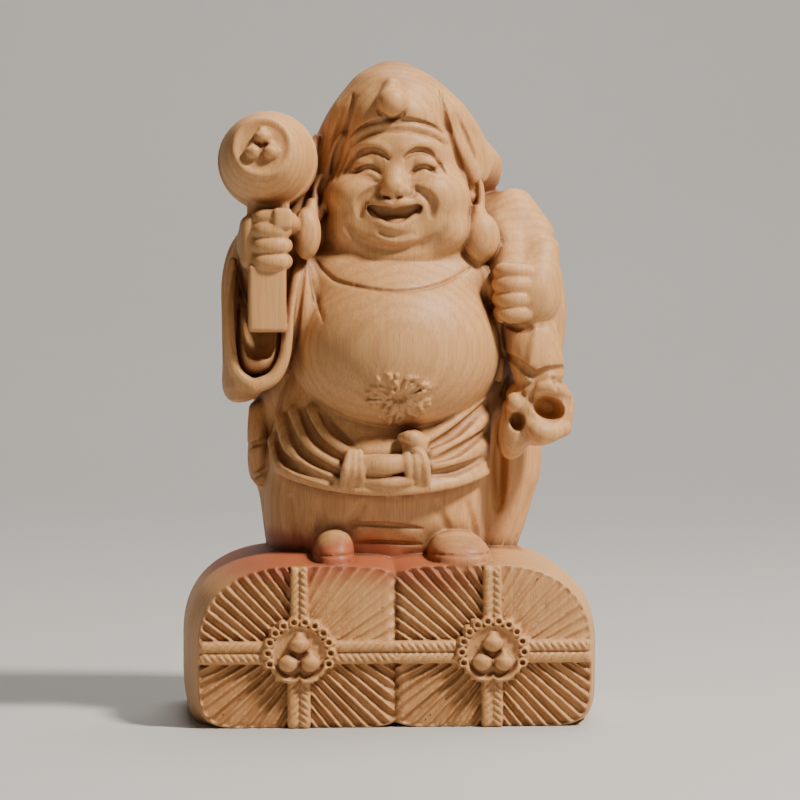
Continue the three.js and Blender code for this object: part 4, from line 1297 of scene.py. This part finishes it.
def wood():
    """Pale close-grained wood, carved and rubbed to a satin sheen, with shade painted into its hollows and
    creases.
    """
    material = bpy.data.materials.new("carved_wood")
    material.use_nodes = True
    tree = material.node_tree
    shader = tree.nodes["Principled BSDF"]
    place = node(tree, "ShaderNodeTexCoord").outputs["Object"]
    # How deep each point lies between forms, which sets the painted shade below
    painted_shade_depth = node(tree, "ShaderNodeAttribute", attribute_name="painted_shade_depth").outputs["Fac"]

    def maths(operation, a, b=0.0, clamp=False):
        inputs = {0: a, 1: b}
        return node(tree, "ShaderNodeMath", inputs, operation=operation, use_clamp=clamp).outputs[0]

    fibre = stretched(tree, place, (2600, 2600, 46), 3, 0.6)
    streak = stretched(tree, place, (620, 620, 9))
    cloud = stretched(tree, place, (26, 26, 8))
    wander = stretched(tree, place, (30, 30, 5))

    x, y, z = node(tree, "ShaderNodeSeparateXYZ", {"Vector": place}).outputs
    across, back = maths("SUBTRACT", x, PITH_X), maths("SUBTRACT", y, PITH_Y)
    squares = [maths("MULTIPLY", value, value) for value in (across, back)]
    reach = maths("SQRT", maths("ADD", *squares))
    bent = maths("ADD", reach, maths("MULTIPLY", wander, RING_WANDER))
    wave = maths("SINE", maths("MULTIPLY", bent, 2 * math.pi / RING_SPACING))
    ring = maths("POWER", maths("ADD", maths("MULTIPLY", wave, 0.5), 0.5), 2.4)

    tone = maths("ADD", maths("MULTIPLY", streak, 0.55), maths("MULTIPLY", cloud, 0.45))
    colour = graded(tree, tone, [(0.3, TAN), (0.7, PALE)])
    colour = mixed(tree, maths("MULTIPLY", ring, 0.2), colour, DEEP)
    lines = maths("MULTIPLY", maths("SUBTRACT", 0.52, fibre, True), 2.0, True)
    colour = mixed(tree, lines, colour, DEEP)

    # The redder heartwood lies on top of the bales, and ends to the right and at their front
    height = maths("ADD", z, maths("MULTIPLY", cloud, 0.016))
    heart = HEART_SHARE
    for value, none, full in (
        (height, 0.046, 0.054), (height, 0.0645, 0.0605), (x, 0.042, 0.004), (y, -0.0385, -0.037),
    ):
        inputs = {"Value": value, 1: none, 2: full}
        share = node(tree, "ShaderNodeMapRange", inputs, interpolation_type="SMOOTHSTEP")
        heart = maths("MULTIPLY", share.outputs[0], heart)
    colour = mixed(tree, heart, colour, HEARTWOOD)

    # Painted shade: the colour darkens where the surface lies deep between other forms
    shade = node(tree, "ShaderNodeMapRange", {"Value": painted_shade_depth, 1: 0.2, 2: 0.75}).outputs[0]
    colour = mixed(tree, maths("MULTIPLY", shade, 0.9), colour, PAINTED_SHADE)
    tree.links.new(colour, shader.inputs["Base Color"])

    rough = node(tree, "ShaderNodeMapRange", {"Value": fibre, 3: 0.42, 4: 0.62}).outputs[0]
    tree.links.new(rough, shader.inputs["Roughness"])
    shader.inputs["Specular IOR Level"].default_value = 0.35
    grain = node(tree, "ShaderNodeBump", {"Height": fibre, "Strength": 0.12, "Distance": 0.0002})
    tree.links.new(grain.outputs[0], shader.inputs["Normal"])
    return material


def plain(name, colour, roughness):
    """A faintly clouded colour."""
    material = bpy.data.materials.new(name)
    material.use_nodes = True
    tree = material.node_tree
    shader = tree.nodes["Principled BSDF"]
    place = node(tree, "ShaderNodeTexCoord").outputs["Object"]
    cloud = stretched(tree, place, (3, 3, 3))
    dim = tuple(0.97 * value for value in colour)
    tree.links.new(graded(tree, cloud, [(0.3, dim), (0.7, colour)]), shader.inputs["Base Color"])
    shader.inputs["Roughness"].default_value = roughness
    return material


# The scene

CAMERA_DISTANCE = 1300
CAMERA_TARGET = (3.9, 0, 94.8)
SEEN_HEIGHT = 241.5  # of the view at the target, in millimetres as the two above


def add_camera():
    """A camera where the photograph was taken from."""
    azimuth, elevation = math.radians(-4), math.radians(2.5)
    back = Vector((
        math.sin(azimuth) * math.cos(elevation),
        -math.cos(azimuth) * math.cos(elevation),
        math.sin(elevation),
    ))
    data = bpy.data.cameras.new("camera")
    data.lens = data.sensor_width * CAMERA_DISTANCE / SEEN_HEIGHT
    data.clip_end = 50
    camera = bpy.data.objects.new("camera", data)
    camera.location = (Vector(CAMERA_TARGET) + CAMERA_DISTANCE * back) * MILLIMETRE
    camera.rotation_euler = back.to_track_quat("Z", "Y").to_euler()
    bpy.context.collection.objects.link(camera)
    bpy.context.scene.camera = camera


def add_light(name, place, size, power, colour, target=(0, 0, 0.1)):
    """A round soft light that points at the target, in metres and watts."""
    data = bpy.data.lights.new(name, "AREA")
    data.shape, data.size = "DISK", size
    data.energy, data.color = power, colour
    light = bpy.data.objects.new(name, data)
    light.location = place
    light.rotation_euler = (Vector(place) - Vector(target)).to_track_quat("Z", "Y").to_euler()
    bpy.context.collection.objects.link(light)


def add_studio():
    """A pale floor that curves up behind the piece, and soft lights."""
    reach, bend, radius, parts = 5.0, 0.9, 1.2, 24
    angles = [math.radians(90 * i / parts) for i in range(parts + 1)]
    profile = [(-reach, 0)] + [(bend + radius * math.sin(a), radius * (1 - math.cos(a))) for a in angles]
    profile.append((bend + radius, reach))
    points = [(x, y, z) for y, z in profile for x in (-reach, reach)]
    faces = [(i, i + 1, i + 3, i + 2) for i in range(0, len(points) - 2, 2)]
    mesh = bpy.data.meshes.new("floor")
    mesh.from_pydata(points, [], faces)
    mesh.shade_smooth()
    floor = bpy.data.objects.new("floor", mesh)
    mesh.materials.append(plain("pale_floor", (0.5, 0.485, 0.46), 0.7))
    bpy.context.collection.objects.link(floor)
    floor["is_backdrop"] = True
    world = bpy.data.worlds.new("studio")
    bpy.context.scene.world = world
    world.use_nodes = True
    sky = world.node_tree.nodes["Background"]
    sky.inputs["Color"].default_value = (0.86, 0.87, 0.9, 1)
    sky.inputs["Strength"].default_value = 0.07
    add_light("key", (0.66, -0.52, 1.05), 0.2, 32, (1, 0.95, 0.88))
    add_light("back", (0.2, 0.7, 1.9), 1.2, 26, (1, 0.98, 0.95), target=(0, 1.2, 0.3))
    add_light("fill", (-1.1, -0.7, 0.4), 0.9, 0.3, (0.95, 0.97, 1))


add_camera()
carving = carve()
carving.data.materials.clear()
carving.data.materials.append(wood())
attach(carving, "root")
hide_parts(NODE)
add_studio()

boxes = {"cad": cad_box, "visual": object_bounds()}
{name: [list(corner) for corner in box] for name, box in boxes.items()}
